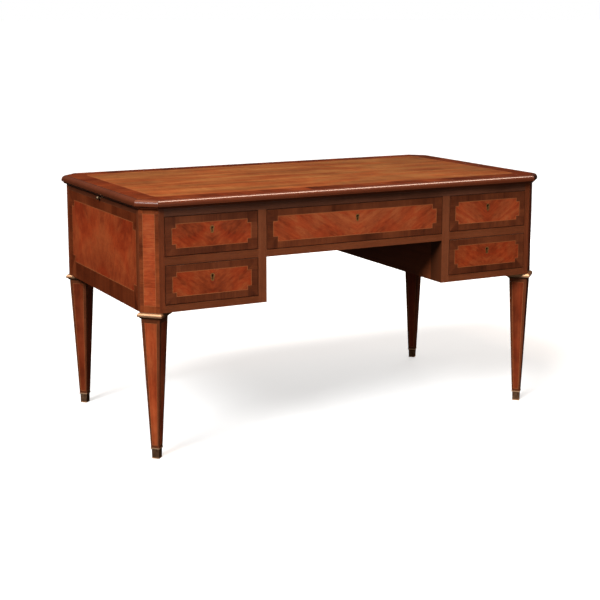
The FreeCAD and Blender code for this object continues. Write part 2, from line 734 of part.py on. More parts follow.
def drawer(name):
    """A flush drawer: front, dovetailed box, bottom, lock, bolt and keyhole escutcheon."""
    left, floor, wide, tall = DRAWERS[name]
    middle = f"{left} + {wide} / 2"
    front_top = f"{floor} + {tall} - drawer_gap"
    inner_x = f"{left} + drawer_gap + drawer_side"
    inner_width = f"{wide} - 2 * drawer_gap - 2 * drawer_side"
    bottom_z = f"{floor} + run_clearance + bottom_rise"
    rear_y = "-half_depth + drawer_length - back_inset"

    front_blank = drawer_front_blank(name + "_front_blank", left, floor, wide, tall)
    side_blanks = [
        drawer_side_blank(name + "_left_blank", f"{left} + drawer_gap", floor, tall),
        drawer_side_blank(name + "_right_blank", f"{left} + {wide} - drawer_gap - drawer_side", floor, tall),
    ]
    housed_x = f"{inner_x} - groove_depth"
    housed_width = f"{inner_width} + 2 * groove_depth"
    bottom_y = "-half_depth + front_thickness - groove_depth"
    bottom = box(name + "_bottom", (housed_x, bottom_y, bottom_z),
                 (housed_width, f"{rear_y} - ({bottom_y})", "drawer_bottom"))
    back = box(name + "_back", (housed_x, f"{rear_y} - drawer_back", f"{bottom_z} + drawer_bottom"),
               (housed_width, "drawer_back",
                f"{tall} - run_clearance - side_drop - bottom_rise - drawer_bottom - back_drop"))
    sides = [cut(blank.Name.replace("blank", "side"), blank, bottom, back) for blank in side_blanks]

    lock_blank, channel, bolt = drawer_lock(name, middle, front_top)
    round_z = f"{front_top} - keyhole_drop"
    outer_y = "-half_depth - escutcheon_proud"
    keyhole = keyhole_prism(name + "_keyhole", middle, round_z, "0", outer_y,
                            "escutcheon_proud + front_thickness - lock_depth + key_depth")
    inlay = keyhole_prism(name + "_inlay", middle, round_z, "escutcheon_wall", outer_y, "escutcheon_depth")
    return [
        cut(name + "_front", front_blank, *side_blanks, bottom, lock_blank, keyhole, inlay),
        group(name + "_box", *sides, back),
        bottom,
        cut(name + "_lock", lock_blank, channel, keyhole),
        bolt,
        cut(name + "_escutcheon", inlay, keyhole),
    ]


def side_slides():
    """Pull-out boards under the top at both ends, each with an edge strip and a turned knob."""
    low = "slide_z + run_clearance"
    width = "2 * slide_half_width"
    strip_blank = box("slide_strip_blank", ("-half_length", "-slide_half_width", low),
                      ("slide_edge", width, "slide_thickness"))
    plain_board = box("slide_plain_board", ("-half_length + slide_edge", "-slide_half_width", low),
                      ("slide_length - slide_edge", width, "slide_thickness"))
    tongue = box("slide_tongue",
                 ("-half_length + slide_edge - tongue_length", "-slide_half_width",
                  f"{low} + (slide_thickness - tongue_thickness) / 2"),
                 ("tongue_length + slide_edge", width, "tongue_thickness"))
    board = fuse("slide_left_board", plain_board, tongue)

    ball = doc.addObject("Part::Sphere", "knob_ball")
    bind(ball, Radius="knob_radius", x="-half_length - knob_reach + knob_radius", z="knob_z")
    on_strip = ("-half_length", "0", "knob_z")
    knob = fuse(
        "slide_left_knob", ball,
        rod("knob_stem", on_strip, "knob_neck", "knob_reach - knob_radius", -ACROSS),
        rod("knob_rose", on_strip, "knob_plate_radius", "knob_plate", -ACROSS),
        rod("knob_shank", on_strip, "knob_neck", "knob_peg", ACROSS))
    left = [board, cut("slide_left_edge", strip_blank, board, knob), knob]
    return left + [right_twin(piece) for piece in left]


nodes = [top_panel(), top_edge_moulding(), *case_frame(), *drawer_supports(), *side_slides()]
for drawer_name in DRAWERS:
    nodes += drawer(drawer_name)
doc.recompute()

faults = [thing.Name for thing in doc.Objects if "Invalid" in thing.State or "Error" in thing.State]
faults += [node.Label for node in nodes if node.Shape.isNull() or not node.Shape.isValid()]
if faults:
    raise RuntimeError(f"objects that failed: {faults}")

os.makedirs("parts", exist_ok=True)
for node in nodes:
    node.Shape.exportStep(os.path.join("parts", node.Label + ".step"))
    print(f"{node.Label}: {len(node.Shape.Solids)} solids, {node.Shape.Volume / 1000:.1f} cm3")
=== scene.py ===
"""Visual model of a veneered writing table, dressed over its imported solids.

The table's own classes hold millimetres. Finishes, lights, the camera and finished meshes are in metres.
"""

import logging
import math
import random
from dataclasses import dataclass, field
from enum import Enum
from typing import Iterable, Sequence

import bmesh
import bpy
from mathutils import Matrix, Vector


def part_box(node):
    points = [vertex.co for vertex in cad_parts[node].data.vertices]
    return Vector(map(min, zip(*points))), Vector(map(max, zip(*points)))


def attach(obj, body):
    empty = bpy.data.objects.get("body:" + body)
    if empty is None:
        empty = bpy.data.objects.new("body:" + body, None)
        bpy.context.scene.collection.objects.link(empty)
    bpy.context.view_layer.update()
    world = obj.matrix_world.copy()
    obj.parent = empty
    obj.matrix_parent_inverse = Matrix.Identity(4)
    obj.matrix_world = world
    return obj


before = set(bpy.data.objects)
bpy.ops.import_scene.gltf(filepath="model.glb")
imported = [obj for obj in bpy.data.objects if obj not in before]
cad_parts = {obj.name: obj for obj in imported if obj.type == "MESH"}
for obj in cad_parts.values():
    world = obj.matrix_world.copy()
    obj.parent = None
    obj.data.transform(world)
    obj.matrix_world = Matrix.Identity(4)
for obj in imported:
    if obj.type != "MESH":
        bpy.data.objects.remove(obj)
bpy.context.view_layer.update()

log = logging.getLogger("writing_table")
MM = 0.001
UP = Vector((0.0, 0.0, 1.0))
GRAIN_MAP = "grain"

Socket = bpy.types.NodeSocket
Point = tuple[float, float]
Colour = tuple[float, float, float]
Place = tuple[float, float, float]


class Grain(Enum):
    """Run of the grain: along an axis of the table, or along the veneer's own map."""

    ACROSS = 0
    DEEP = 1
    UPRIGHT = 2
    LAID = GRAIN_MAP

    @property
    def axis(self) -> int:
        """Axis of the pattern that the grain follows."""
        return 0 if self is Grain.LAID else self.value


class Corner(Enum):
    """Signs of X and Y at the four corners of the table."""

    FRONT_LEFT = (-1, -1)
    FRONT_RIGHT = (1, -1)
    BACK_LEFT = (-1, 1)
    BACK_RIGHT = (1, 1)

    @property
    def outward(self) -> Vector:
        """Level direction out of the cut-off corner."""
        return Vector((*self.value, 0.0)).normalized()

    @property
    def label(self) -> str:
        """The corner's name in lower case."""
        return self.name.lower()


class Wiring:
    """Puts nodes into one tree and joins them."""

    def __init__(self, tree: bpy.types.NodeTree) -> None:
        """Take a tree and empty it."""
        self.tree = tree
        tree.nodes.clear()

    def add(self, kind: str, inputs: dict | None = None, **settings: object) -> bpy.types.Node:
        """Add a node.

        Args:
            kind: Blender's name of the node type.
            inputs: values or sockets for the node's inputs.
            settings: properties of the node.

        Returns:
            The new node.
        """
        node = self.tree.nodes.new(kind)
        for key, setting in settings.items():
            setattr(node, key, setting)
        for key, value in (inputs or {}).items():
            self.feed(node.inputs[key], value)
        return node

    def feed(self, socket: Socket, value: object) -> None:
        """Link another socket to an input, or set the input's value.

        Args:
            socket: the input.
            value: a socket or a plain value.
        """
        if isinstance(value, Socket):
            self.tree.links.new(value, socket)
        else:
            socket.default_value = value

    def ramp(self, value: Socket, stops: Iterable[tuple[float, Colour]]) -> Socket:
        """Colours picked by a value.

        Args:
            value: socket from 0 to 1.
            stops: pairs of a position and a colour, from low to high.

        Returns:
            Socket of the colour.
        """
        node = self.add("ShaderNodeValToRGB", {"Fac": value})
        elements = node.color_ramp.elements
        for index, (position, colour) in enumerate(stops):
            element = elements[index] if index < 2 else elements.new(position)
            element.position = position
            element.color = (*colour, 1.0)
        return node.outputs["Color"]

    def graded(self, value: Socket, stops: Sequence[tuple[float, Colour]]) -> Socket:
        """Colours picked by a value that has its own range.

        Args:
            value: socket of the value.
            stops: pairs of a value and a colour, from low to high.

        Returns:
            Socket of the colour.
        """
        low, high = stops[0][0], stops[-1][0]
        share = self.add("ShaderNodeMapRange", {"Value": value, "From Min": low, "From Max": high})
        scaled = [((at - low) / (high - low), colour) for at, colour in stops]
        return self.ramp(share.outputs["Result"], scaled)


class Bench(Wiring):
    """Builds one material."""

    EDGE_STEP = (0.98, 0.8)
    EDGE_SAMPLES = 4

    def __init__(self, name: str) -> None:
        """Start an empty material.

        Args:
            name: name of the material.
        """
        self.material = bpy.data.materials.new(name)
        self.material.use_nodes = True
        super().__init__(self.material.node_tree)

    def place(self, grain: Grain) -> Socket:
        """The coordinates that a pattern follows.

        Args:
            grain: run of the grain.

        Returns:
            Socket of the coordinates, in metres.
        """
        if grain is Grain.LAID:
            return self.add("ShaderNodeUVMap", uv_map=GRAIN_MAP).outputs["UV"]
        return self.add("ShaderNodeTexCoord").outputs["Object"]

    def noise(self, place: Socket, cells: Place, detail: float = 2.0, curl: float = 0.0) -> Socket:
        """Noise with its own scale along each axis.

        Args:
            place: socket of the coordinates.
            cells: cells per metre along X, Y and Z.
            detail: octaves of finer noise.
            curl: how far the pattern curls.

        Returns:
            Socket of the noise, about 0.5 on average.
        """
        scaled = self.add("ShaderNodeVectorMath", {0: place, 1: cells}, operation="MULTIPLY")
        texture = self.add("ShaderNodeTexNoise", {
            "Vector": scaled.outputs[0], "Scale": 1.0, "Detail": detail, "Distortion": curl})
        return texture.outputs["Fac"]

    def blend(self, base: float, *parts: tuple[Socket, float]) -> Socket:
        """Sum of noises about a base value.

        Args:
            base: value where every noise is at its average.
            parts: pairs of a noise and its weight.

        Returns:
            Socket of the sum.
        """
        total: object = base - 0.5 * sum(weight for _, weight in parts)
        for socket, weight in parts:
            step = self.add("ShaderNodeMath", {0: socket, 1: weight, 2: total}, operation="MULTIPLY_ADD")
            total = step.outputs[0]
        return total

    def math(self, kind: str, first: object, second: object) -> Socket:
        """Result of one of Blender's sums on two values or sockets, kept between 0 and 1."""
        return self.add("ShaderNodeMath", {0: first, 1: second}, operation=kind, use_clamp=True).outputs[0]

    def between(self, value: Socket, low: float, high: float) -> Socket:
        """A smooth step from 0 where the value is low to 1 where it is high."""
        node = self.add("ShaderNodeMapRange", {"Value": value, "From Min": low, "From Max": high},
                        interpolation_type="SMOOTHSTEP")
        return node.outputs["Result"]

    def edges(self, reach: float) -> Socket:
        """Where a piece has a sharp edge.

        Args:
            reach: how far from the edge it shows, in metres.

        Returns:
            Socket from 0 on flat faces to 1 on edges.
        """
        eased = self.add("ShaderNodeBevel", {"Radius": reach}, samples=self.EDGE_SAMPLES)
        plain = self.add("ShaderNodeNewGeometry")
        likeness = self.add("ShaderNodeVectorMath", {0: eased.outputs[0], 1: plain.outputs["Normal"]},
                            operation="DOT_PRODUCT")
        return self.between(likeness.outputs["Value"], *self.EDGE_STEP)

    def mix(self, factor: object, first: object, second: object, kind: str = "MIX") -> Socket:
        """Mix of two colours.

        Args:
            factor: share of the second colour.
            first: colour or socket.
            second: colour or socket.
            kind: way of mixing.

        Returns:
            Socket of the colour.
        """
        node = self.add("ShaderNodeMix", data_type="RGBA", blend_type=kind)
        self.feed(node.inputs[0], factor)
        for index, colour in ((6, first), (7, second)):
            self.feed(node.inputs[index], (*colour, 1.0) if isinstance(colour, tuple) else colour)
        return node.outputs[2]

    def stain(self, colour: Socket, where: Socket, strength: object, tint: Colour,
              kind: str = "MIX") -> Socket:
        """The colour, stained with a tint where a socket is 1, as strongly as given."""
        return self.mix(self.math("MULTIPLY", where, strength), colour, tint, kind)

    def surface(self, bump: float, **inputs: object) -> bpy.types.Material:
        """Finish the material with its shader.

        Args:
            bump: height in metres that the "Height" input stands for.
            inputs: inputs of the shader, with "_" for a space, and Height for the bump.

        Returns:
            The finished material.
        """
        height = inputs.pop("Height")
        relief = self.add("ShaderNodeBump", {"Strength": 1.0, "Distance": bump, "Height": height})
        shader = self.add("ShaderNodeBsdfPrincipled", {"Normal": relief.outputs["Normal"]})
        for key, value in inputs.items():
            self.feed(shader.inputs[key.replace("_", " ")], value)
        self.add("ShaderNodeOutputMaterial", {"Surface": shader.outputs[0]})
        return self.material


@dataclass(frozen=True)
class WoodFinish:
    """A polished or bare wood: colours, figure, gloss and wear.

    Cells are counts per metre, along and across the grain. Noises are pairs of octaves and curl, and steps
    are pairs of values where a mask begins and where it is full. Where blush is above 0, the wood is redder
    in patches. Where dull_sides is above 0, faces that look along X are darkened as painted shade, as beside
    the knees.
    """

    STREAK_NOISE = (4.0, 0.6)
    FIGURE_NOISE = (2.0, 1.4)
    MOTTLE_NOISE = (2.0, 0.8)
    BLUSH_NOISE = (3.0, 0.8)
    PORE_OCTAVES = 1.0
    WEAR_OCTAVES = 3.0
    MIDDLE_TONE = 0.5
    TONE_STOPS = (0.22, 0.5, 0.8)
    PORE_STEP = (0.58, 0.74)
    BLUSH_STEP = (0.4, 0.6)
    WEAR_STEP = (0.4, 0.65)
    SIDE_STEP = (0.5, 0.9)
    PORE_SHADE = 0.35
    SIDE_SHADE = 0.55
    LINE_GLOSS = 0.06
    SMEAR_GLOSS = 0.16
    LINE_RELIEF = 0.25
    PORE_RELIEF = -0.8

    name: str
    dark: Colour
    body: Colour
    light: Colour
    grain: Grain = Grain.LAID
    streaks: float = 0.4
    streak_cells: Point = (2.5, 70)
    lines: float = 0.3
    line_cells: Point = (14, 620)
    figure: float = 0.15
    figure_cells: Point = (26, 9)
    patches: float = 0.3
    patch_cells: Point = (5, 7)
    mottle: float = 0.1
    mottle_cells: Point = (50, 110)
    blush: float = 0.0
    blush_cells: Point = (5, 14)
    blush_tint: Colour = (1.0, 0.68, 0.58)
    pores: float = 0.45
    pore_cells: Point = (85, 1500)
    roughness: float = 0.32
    smear_cells: Place = (6, 6, 6)
    specular: float = 0.3
    coat: float = 0.15
    coat_index: float = 1.5
    gloss: float = 0.18
    bump: float = 0.00012
    edge_wear: float = 0.0
    wear_cells: Place = (30, 30, 30)
    wear_reach: float = 0.0016
    rubbed: Colour = (0.30, 0.115, 0.048)
    dull_sides: float = 0.0

    def darker(self, share: float) -> Colour:
        """The dark colour times a share."""
        return tuple(share * part for part in self.dark)

    def make(self) -> bpy.types.Material:
        """Build the material.

        Returns:
            The material.
        """
        bench = Bench(self.name)
        place = bench.place(self.grain)

        def grained(cells: Point, *noise: float) -> Socket:
            """Noise that is drawn out along the grain."""
            scale = tuple(cells[0 if axis == self.grain.axis else 1] for axis in range(3))
            return bench.noise(place, scale, *noise)

        lines = grained(self.line_cells)
        pores = bench.between(grained(self.pore_cells, self.PORE_OCTAVES), *self.PORE_STEP)
        tone = bench.blend(self.MIDDLE_TONE, (grained(self.streak_cells, *self.STREAK_NOISE), self.streaks),
                           (lines, self.lines),
                           (grained(self.figure_cells, *self.FIGURE_NOISE), self.figure),
                           (grained(self.patch_cells), self.patches),
                           (grained(self.mottle_cells, *self.MOTTLE_NOISE), self.mottle))
        colour = bench.ramp(tone, zip(self.TONE_STOPS, (self.dark, self.body, self.light)))
        if self.blush:
            cloud = bench.between(grained(self.blush_cells, *self.BLUSH_NOISE), *self.BLUSH_STEP)
            colour = bench.stain(colour, cloud, self.blush, self.blush_tint, "MULTIPLY")
        colour = bench.stain(colour, pores, self.pores, self.darker(self.PORE_SHADE))
        if self.edge_wear:
            chance = bench.between(bench.noise(place, self.wear_cells, self.WEAR_OCTAVES), *self.WEAR_STEP)
            patchy = bench.math("MULTIPLY", chance, self.edge_wear)
            colour = bench.stain(colour, bench.edges(self.wear_reach), patchy, self.rubbed)
        # Painted shade: faces that look along X are darkened as if they stood in shade.
        if self.dull_sides:
            normal = bench.add("ShaderNodeNewGeometry").outputs["Normal"]
            sideways = bench.add("ShaderNodeSeparateXYZ", {0: normal}).outputs["X"]
            turned = bench.between(bench.math("ABSOLUTE", sideways, 0.0), *self.SIDE_STEP)
            colour = bench.stain(colour, turned, self.dull_sides, self.darker(self.SIDE_SHADE))
        smears = bench.noise(place, self.smear_cells)
        roughness = bench.blend(self.roughness, (lines, self.LINE_GLOSS), (smears, self.SMEAR_GLOSS))
        relief = bench.blend(self.MIDDLE_TONE, (lines, self.LINE_RELIEF), (pores, self.PORE_RELIEF))
        return bench.surface(self.bump, Height=relief, Base_Color=colour, Roughness=roughness,
                             Specular_IOR_Level=self.specular, Coat_Weight=self.coat,
                             Coat_Roughness=self.gloss, Coat_IOR=self.coat_index)


@dataclass(frozen=True)
class BrassFinish:
    """Old gilt brass, rubbed bright on its edges where hands and cloths reach it, and set brighter or darker
    by height.

    Bands are pairs of a height in metres and how bright the metal is there. On the collars the bands make
    the foot and the top under the case darker, partly tarnish in those hollows and partly painted shade, and
    make the nose brightest, partly polish and partly painted highlight.
    """

    CLOUD_CELLS = (90, 90, 90)
    CLOUD_NOISE = (3.0, 0.4)
    CLOUD_SHINE = 0.5
    CLOUD_ROUGH = 0.18
    SCRATCH_CELLS = (900, 900, 120)
    SCRATCH_SHINE = 0.12
    SCRATCH_ROUGH = 0.14
    EDGE_REACH = 0.0008
    EDGE_SHINE = 0.4
    BUMP = 0.00008

    name: str
    bands: tuple[Point, ...] = ((0.0, 0.75), (1.0, 0.75))
    bright: Colour = (0.72, 0.42, 0.235)
    tarnish: Colour = (0.13, 0.065, 0.022)
    rough: float = 0.34

    def make(self) -> bpy.types.Material:
        """Build the material.

        Returns:
            The material.
        """
        bench = Bench(self.name)
        place = bench.place(Grain.UPRIGHT)
        height = bench.add("ShaderNodeSeparateXYZ", {0: place}).outputs["Z"]
        # Height bands: the metal's polish, and on the collars also painted highlight and painted shade.
        polish = bench.graded(height, [(level, (shine,) * 3) for level, shine in self.bands])
        cloud = bench.noise(place, self.CLOUD_CELLS, *self.CLOUD_NOISE)
        scratch = bench.noise(place, self.SCRATCH_CELLS)
        uneven = bench.blend(0.0, (cloud, self.CLOUD_SHINE), (scratch, self.SCRATCH_SHINE))
        shine = bench.math("ADD", uneven, polish)
        worn = bench.math("MULTIPLY", bench.edges(self.EDGE_REACH), self.EDGE_SHINE)
        shine = bench.math("ADD", shine, worn)
        colour = bench.mix(shine, self.tarnish, self.bright)
        rough = bench.blend(self.rough, (cloud, self.CLOUD_ROUGH), (scratch, self.SCRATCH_ROUGH))
        return bench.surface(self.BUMP, Height=scratch, Base_Color=colour, Roughness=rough, Metallic=1.0)


@dataclass(frozen=True)
class FloorFinish:
    """Pale matt studio floor, lit a little from below as a light table is."""

    name: str = "studio_floor"
    cells: Place = (0.6, 0.6, 0.6)
    octaves: float = 3.0
    shades: tuple[Point, Point] = ((0.3, 0.58), (0.7, 0.60))
    rough: float = 0.9
    glow: float = 0.58
    bump: float = 0.0001

    def make(self) -> bpy.types.Material:
        """Build the material.

        Returns:
            The material.
        """
        bench = Bench(self.name)
        cloud = bench.noise(bench.place(Grain.ACROSS), self.cells, self.octaves)
        colour = bench.ramp(cloud, [(stop, (shade,) * 3) for stop, shade in self.shades])
        return bench.surface(self.bump, Height=cloud, Base_Color=colour, Roughness=self.rough,
                             Emission_Color=(1.0, 1.0, 1.0, 1.0), Emission_Strength=self.glow)


class Finishes:
    """Every finish of the table, each made once."""

    OAK = ((0.21, 0.105, 0.042), (0.36, 0.205, 0.090), (0.46, 0.29, 0.145))
    WOODS = (
        WoodFinish("field_veneer", (0.136, 0.021, 0.0057), (0.258, 0.0447, 0.0124), (0.372, 0.0855, 0.0257),
                   streak_cells=(6, 60), lines=0.35, figure=0.3, figure_cells=(18, 28), patches=0.8,
                   patch_cells=(14, 20), mottle=0.6, blush=0.8, blush_cells=(14, 20)),
        # A paler, less red copy of the field veneer with its own figure; its lighter colour is painted
        # sheen.
        WoodFinish("field_veneer_pale", (0.165, 0.031, 0.010), (0.315, 0.066, 0.021), (0.44, 0.118, 0.039),
                   streaks=0.6, streak_cells=(6, 60), lines=0.35, figure=0.3, figure_cells=(18, 34),
                   patches=0.6, patch_cells=(9, 12), mottle=0.4, blush=0.8, blush_cells=(12, 24)),
        WoodFinish("end_veneer", (0.126, 0.0175, 0.0046), (0.252, 0.040, 0.0106), (0.375, 0.079, 0.022),
                   streaks=0.25, streak_cells=(6, 40), figure=0.5, figure_cells=(14, 18), patches=1.3,
                   patch_cells=(5, 6), mottle=0.55, blush=0.9, blush_cells=(6, 7)),
        WoodFinish("post_veneer", (0.165, 0.028, 0.0075), (0.302, 0.056, 0.016), (0.405, 0.097, 0.030),
                   streaks=0.7, streak_cells=(3, 110), lines=0.8, patches=0.7, patch_cells=(12, 18),
                   mottle=0.4, blush=0.4, blush_cells=(14, 20)),
        WoodFinish("leg_veneer", (0.16, 0.029, 0.009), (0.30, 0.062, 0.019), (0.43, 0.108, 0.035),
                   streaks=0.7, patches=0.9, patch_cells=(8, 9), mottle=0.3, blush=0.6),
        # A darker copy of the leg veneer: painted shade for the legs away from the light.
        WoodFinish("leg_veneer_deep", (0.085, 0.014, 0.004), (0.156, 0.027, 0.008), (0.235, 0.049, 0.016),
                   streaks=0.7, patches=0.9, patch_cells=(8, 9), mottle=0.3, blush=0.4),
        WoodFinish("leg_band_veneer", (0.060, 0.015, 0.005), (0.112, 0.029, 0.010), (0.165, 0.047, 0.017),
                   lines=0.4, patches=0.7),
        WoodFinish("band_veneer", (0.052, 0.0115, 0.0042), (0.114, 0.028, 0.0100), (0.19, 0.050, 0.018),
                   lines=0.5, patches=1.0),
        WoodFinish("end_band_veneer", (0.055, 0.009, 0.0025), (0.112, 0.021, 0.006), (0.18, 0.040, 0.012),
                   lines=0.5, patches=1.0, specular=0.12, coat=0.0),
        WoodFinish("post_band_veneer", (0.07, 0.013, 0.0036), (0.152, 0.032, 0.0086), (0.255, 0.056, 0.0155),
                   lines=0.5, patches=1.0),
        WoodFinish("top_veneer", (0.124, 0.039, 0.011), (0.205, 0.073, 0.020), (0.294, 0.125, 0.038),
                   streaks=0.75, streak_cells=(2.8, 30), lines=0.75, figure=0.3, figure_cells=(20, 10),
                   patches=0.75, patch_cells=(3.5, 11), mottle=0.3, blush=0.9, blush_cells=(3.5, 14),
                   roughness=0.4, specular=0.15, coat=0.04),
        WoodFinish("top_band_veneer", (0.046, 0.0083, 0.0024), (0.105, 0.021, 0.006), (0.18, 0.042, 0.0115),
                   lines=0.4, patches=1.1, blush=0.5, roughness=0.4, specular=0.06, coat=0.0),
        WoodFinish("case_wood", (0.072, 0.018, 0.006), (0.148, 0.039, 0.014), (0.22, 0.064, 0.025),
                   Grain.ACROSS, edge_wear=0.5),
        WoodFinish("case_wood_deep", (0.044, 0.010, 0.004), (0.098, 0.024, 0.009), (0.165, 0.044, 0.016),
                   Grain.DEEP, edge_wear=0.5),
        # The stiles' sides toward the knees get painted shade.
        WoodFinish("case_wood_upright", (0.100, 0.026, 0.009), (0.180, 0.051, 0.020), (0.25, 0.079, 0.033),
                   Grain.UPRIGHT, edge_wear=0.5, dull_sides=0.85),
        WoodFinish("post_wood", (0.072, 0.0155, 0.0056), (0.155, 0.036, 0.0122), (0.26, 0.066, 0.022),
                   Grain.UPRIGHT, edge_wear=0.6),
        # Frieze rails under the moulding: partly their own darker tone and partly painted shade from the
        # overhang.
        WoodFinish("frieze_wood", (0.055, 0.018, 0.009), (0.115, 0.039, 0.020), (0.17, 0.062, 0.034),
                   Grain.ACROSS, patches=0.6),
        # Painted shade: the drawer front solids show in the gaps round the drawers, so a very dark tone
        # stands for the shade there.
        WoodFinish("front_wood", (0.032, 0.008, 0.004), (0.062, 0.017, 0.007), (0.10, 0.029, 0.012),
                   Grain.ACROSS, specular=0.1, coat=0.0),
        WoodFinish("knee_wood", (0.088, 0.020, 0.007), (0.170, 0.042, 0.014), (0.25, 0.068, 0.025),
                   Grain.DEEP),
        WoodFinish("moulding_wood", (0.056, 0.011, 0.0033), (0.100, 0.022, 0.0075), (0.143, 0.035, 0.012),
                   Grain.ACROSS, streaks=0.3, lines=0.1, pores=0.25, roughness=0.4, specular=0.12, coat=1.0,
                   coat_index=1.6, gloss=0.17, bump=0.0),
        WoodFinish("drawer_oak", *OAK, Grain.DEEP, roughness=0.5, coat=0.0, edge_wear=0.3),
        WoodFinish("inner_oak", *OAK, Grain.DEEP, roughness=0.55, coat=0.0),
        WoodFinish("string_wood", (0.25, 0.066, 0.021), (0.35, 0.108, 0.037), (0.43, 0.150, 0.058),
                   Grain.ACROSS, pores=0.2),
    )
    BRASSES = (
        # Collar: darker at the foot and under the case, partly tarnish and partly painted shade; brightest
        # on the nose, partly polish and partly painted highlight.
        BrassFinish("collar_brass", ((0.4185, 0.4), (0.4205, 0.6), (0.4225, 0.85), (0.432, 0.9),
                                     (0.4345, 0.65), (0.436, 0.4)), (0.53, 0.30, 0.168), rough=0.55),
        BrassFinish("sabot_brass", ((0.0, 0.8), (0.0024, 0.9), (0.0028, 0.22), (0.0285, 0.2), (0.0292, 1.0),
                                    (0.033, 1.0)), (0.95, 0.60, 0.35), (0.15, 0.056, 0.024), 0.5),
        BrassFinish("fitting_brass", bright=(0.70, 0.36, 0.13), rough=0.5),
        BrassFinish("knob_brass", ((0.0, 0.5), (1.0, 0.5)), (0.42, 0.30, 0.20), rough=0.55),
        BrassFinish("lock_brass", ((0.0, 0.55), (1.0, 0.55))),
        BrassFinish("bolt_steel", ((0.0, 0.5), (1.0, 0.5)), (0.55, 0.52, 0.48), (0.12, 0.10, 0.085)),
    )

    def __init__(self) -> None:
        """Make all the materials."""
        self.made = {finish.name: finish.make() for finish in (*self.WOODS, *self.BRASSES, FloorFinish())}

    def __getitem__(self, name: str) -> bpy.types.Material:
        """The material of that name."""
        return self.made[name]


@dataclass(frozen=True)
class Face:
    """A flat face of the table that veneer is laid on."""

    origin: Vector
    right: Vector
    up: Vector = field(default_factory=UP.copy)

    @classmethod
    def upright(cls, origin: Sequence[float], outward: Vector) -> "Face":
        """A face that stands upright through a point, with its level direction outward."""
        return cls(Vector(origin), UP.cross(outward))

    @property
    def outward(self) -> Vector:
        """Direction out of the face."""
        return self.right.cross(self.up)

    def at(self, point: Point, lift: float = 0.0) -> Vector:
        """A point of the face, or above it by lift, in the table's frame and in metres."""
        place = self.origin + self.right * point[0] + self.up * point[1] + self.outward * lift
        return place * MM


@dataclass
class Leaf:
    """One leaf of veneer: its outline, counterclockwise, and the way its grain runs."""

    outline: list[Point]
    angle: float = 0.0
    mirrored: bool = False
    start: Point = (0.0, 0.0)

    def map_point(self, point: Point) -> Point:
        """Place of a point in the pattern of the wood.

        Args:
            point: place on the face in millimetres.

        Returns:
            Place along and across the grain in metres.
        """
        across, tall = (-point[0] if self.mirrored else point[0]), point[1]
        turn = math.radians(self.angle)
        along = across * math.cos(turn) + tall * math.sin(turn)
        aside = tall * math.cos(turn) - across * math.sin(turn)
        return along * MM + self.start[0], aside * MM + self.start[1]


Laid = tuple[Face, Leaf]


@dataclass
class Rect:
    """A rectangle on a face, with square notches at its corners if notch is more than 0."""

    low: Point
    high: Point
    notch: float = 0.0

    def grown(self, by: float) -> "Rect":
        """The rectangle with every side moved out."""
        return Rect((self.low[0] - by, self.low[1] - by), (self.high[0] + by, self.high[1] + by), self.notch)

    @property
    def middle(self) -> float:
        """Middle of the width."""
        return (self.low[0] + self.high[0]) / 2

    def right_side(self) -> list[Point]:
        """Corners from the middle of the bottom, round the right side, to the middle of the top.

        Returns:
            The corners without the two middles.
        """
        (_, y0), (x1, y1), n = self.low, self.high, self.notch
        if not n:
            return [(x1, y0), (x1, y1)]
        return [(x1 - n, y0), (x1 - n, y0 + n), (x1, y0 + n), (x1, y1 - n), (x1 - n, y1 - n), (x1 - n, y1)]

    def outline(self) -> list[Point]:
        """All the corners, counterclockwise."""
        right = self.right_side()
        return right + [(2 * self.middle - x, y) for x, y in reversed(right)]


def arc(centre: Point, radius: float, first: float, last: float, steps: int) -> list[Point]:
    """Points of an arc from its first to its last angle in degrees, with both ends."""
    turns = [math.radians(first + (last - first) * step / steps) for step in range(steps + 1)]
    return [(centre[0] + radius * math.cos(turn), centre[1] + radius * math.sin(turn)) for turn in turns]


def lengths(start: float, end: float, longest: float) -> list[Point]:
    """Even lengths from start to end.

    Args:
        start: first end.
        end: last end.
        longest: longest length.

    Returns:
        Pairs of ends.
    """
    count = max(1, math.ceil((end - start) / longest))
    step = (end - start) / count
    return [(start + index * step, start + (index + 1) * step) for index in range(count)]


def hand_over(name: str, mesh: bpy.types.Mesh, body: str) -> None:
    """Put a mesh into the scene as a piece of a body.

    Args:
        name: name of the piece.
        mesh: its mesh, in place.
        body: body that it rides on.
    """
    mesh.name = name
    piece = bpy.data.objects.new(name, mesh)
    bpy.context.scene.collection.objects.link(piece)
    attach(piece, body)
    log.info("%s: %d faces on %s", name, len(mesh.polygons), body)


@dataclass
class Veneer:
    """Leaves of veneer on one or more faces, joined in one piece."""

    name: str
    finish: bpy.types.Material
    leaves: Sequence[Laid]
    body: str
    slot: str
    thickness: float

    def build(self) -> None:
        """Make the piece, each leaf a thin plate with its grain map."""
        work = bmesh.new()
        layer = work.loops.layers.uv.new(GRAIN_MAP)
        for face, leaf in self.leaves:
            below, above = ([work.verts.new(face.at(point, lift)) for point in leaf.outline]
                            for lift in (0.0, self.thickness))
            flat = dict(zip([*below, *above], leaf.outline * 2))
            sides = [work.faces.new(above), work.faces.new(below[::-1])]
            for index in range(len(above)):
                after = (index + 1) % len(above)
                sides.append(work.faces.new([below[index], below[after], above[after], above[index]]))
            for side in sides:
                for loop in side.loops:
                    loop[layer].uv = leaf.map_point(flat[loop.vert])
        mesh = bpy.data.meshes.new(self.name)
        work.to_mesh(mesh)
        work.free()
        mesh.materials.append(self.finish)
        hand_over(self.name, mesh, self.body)


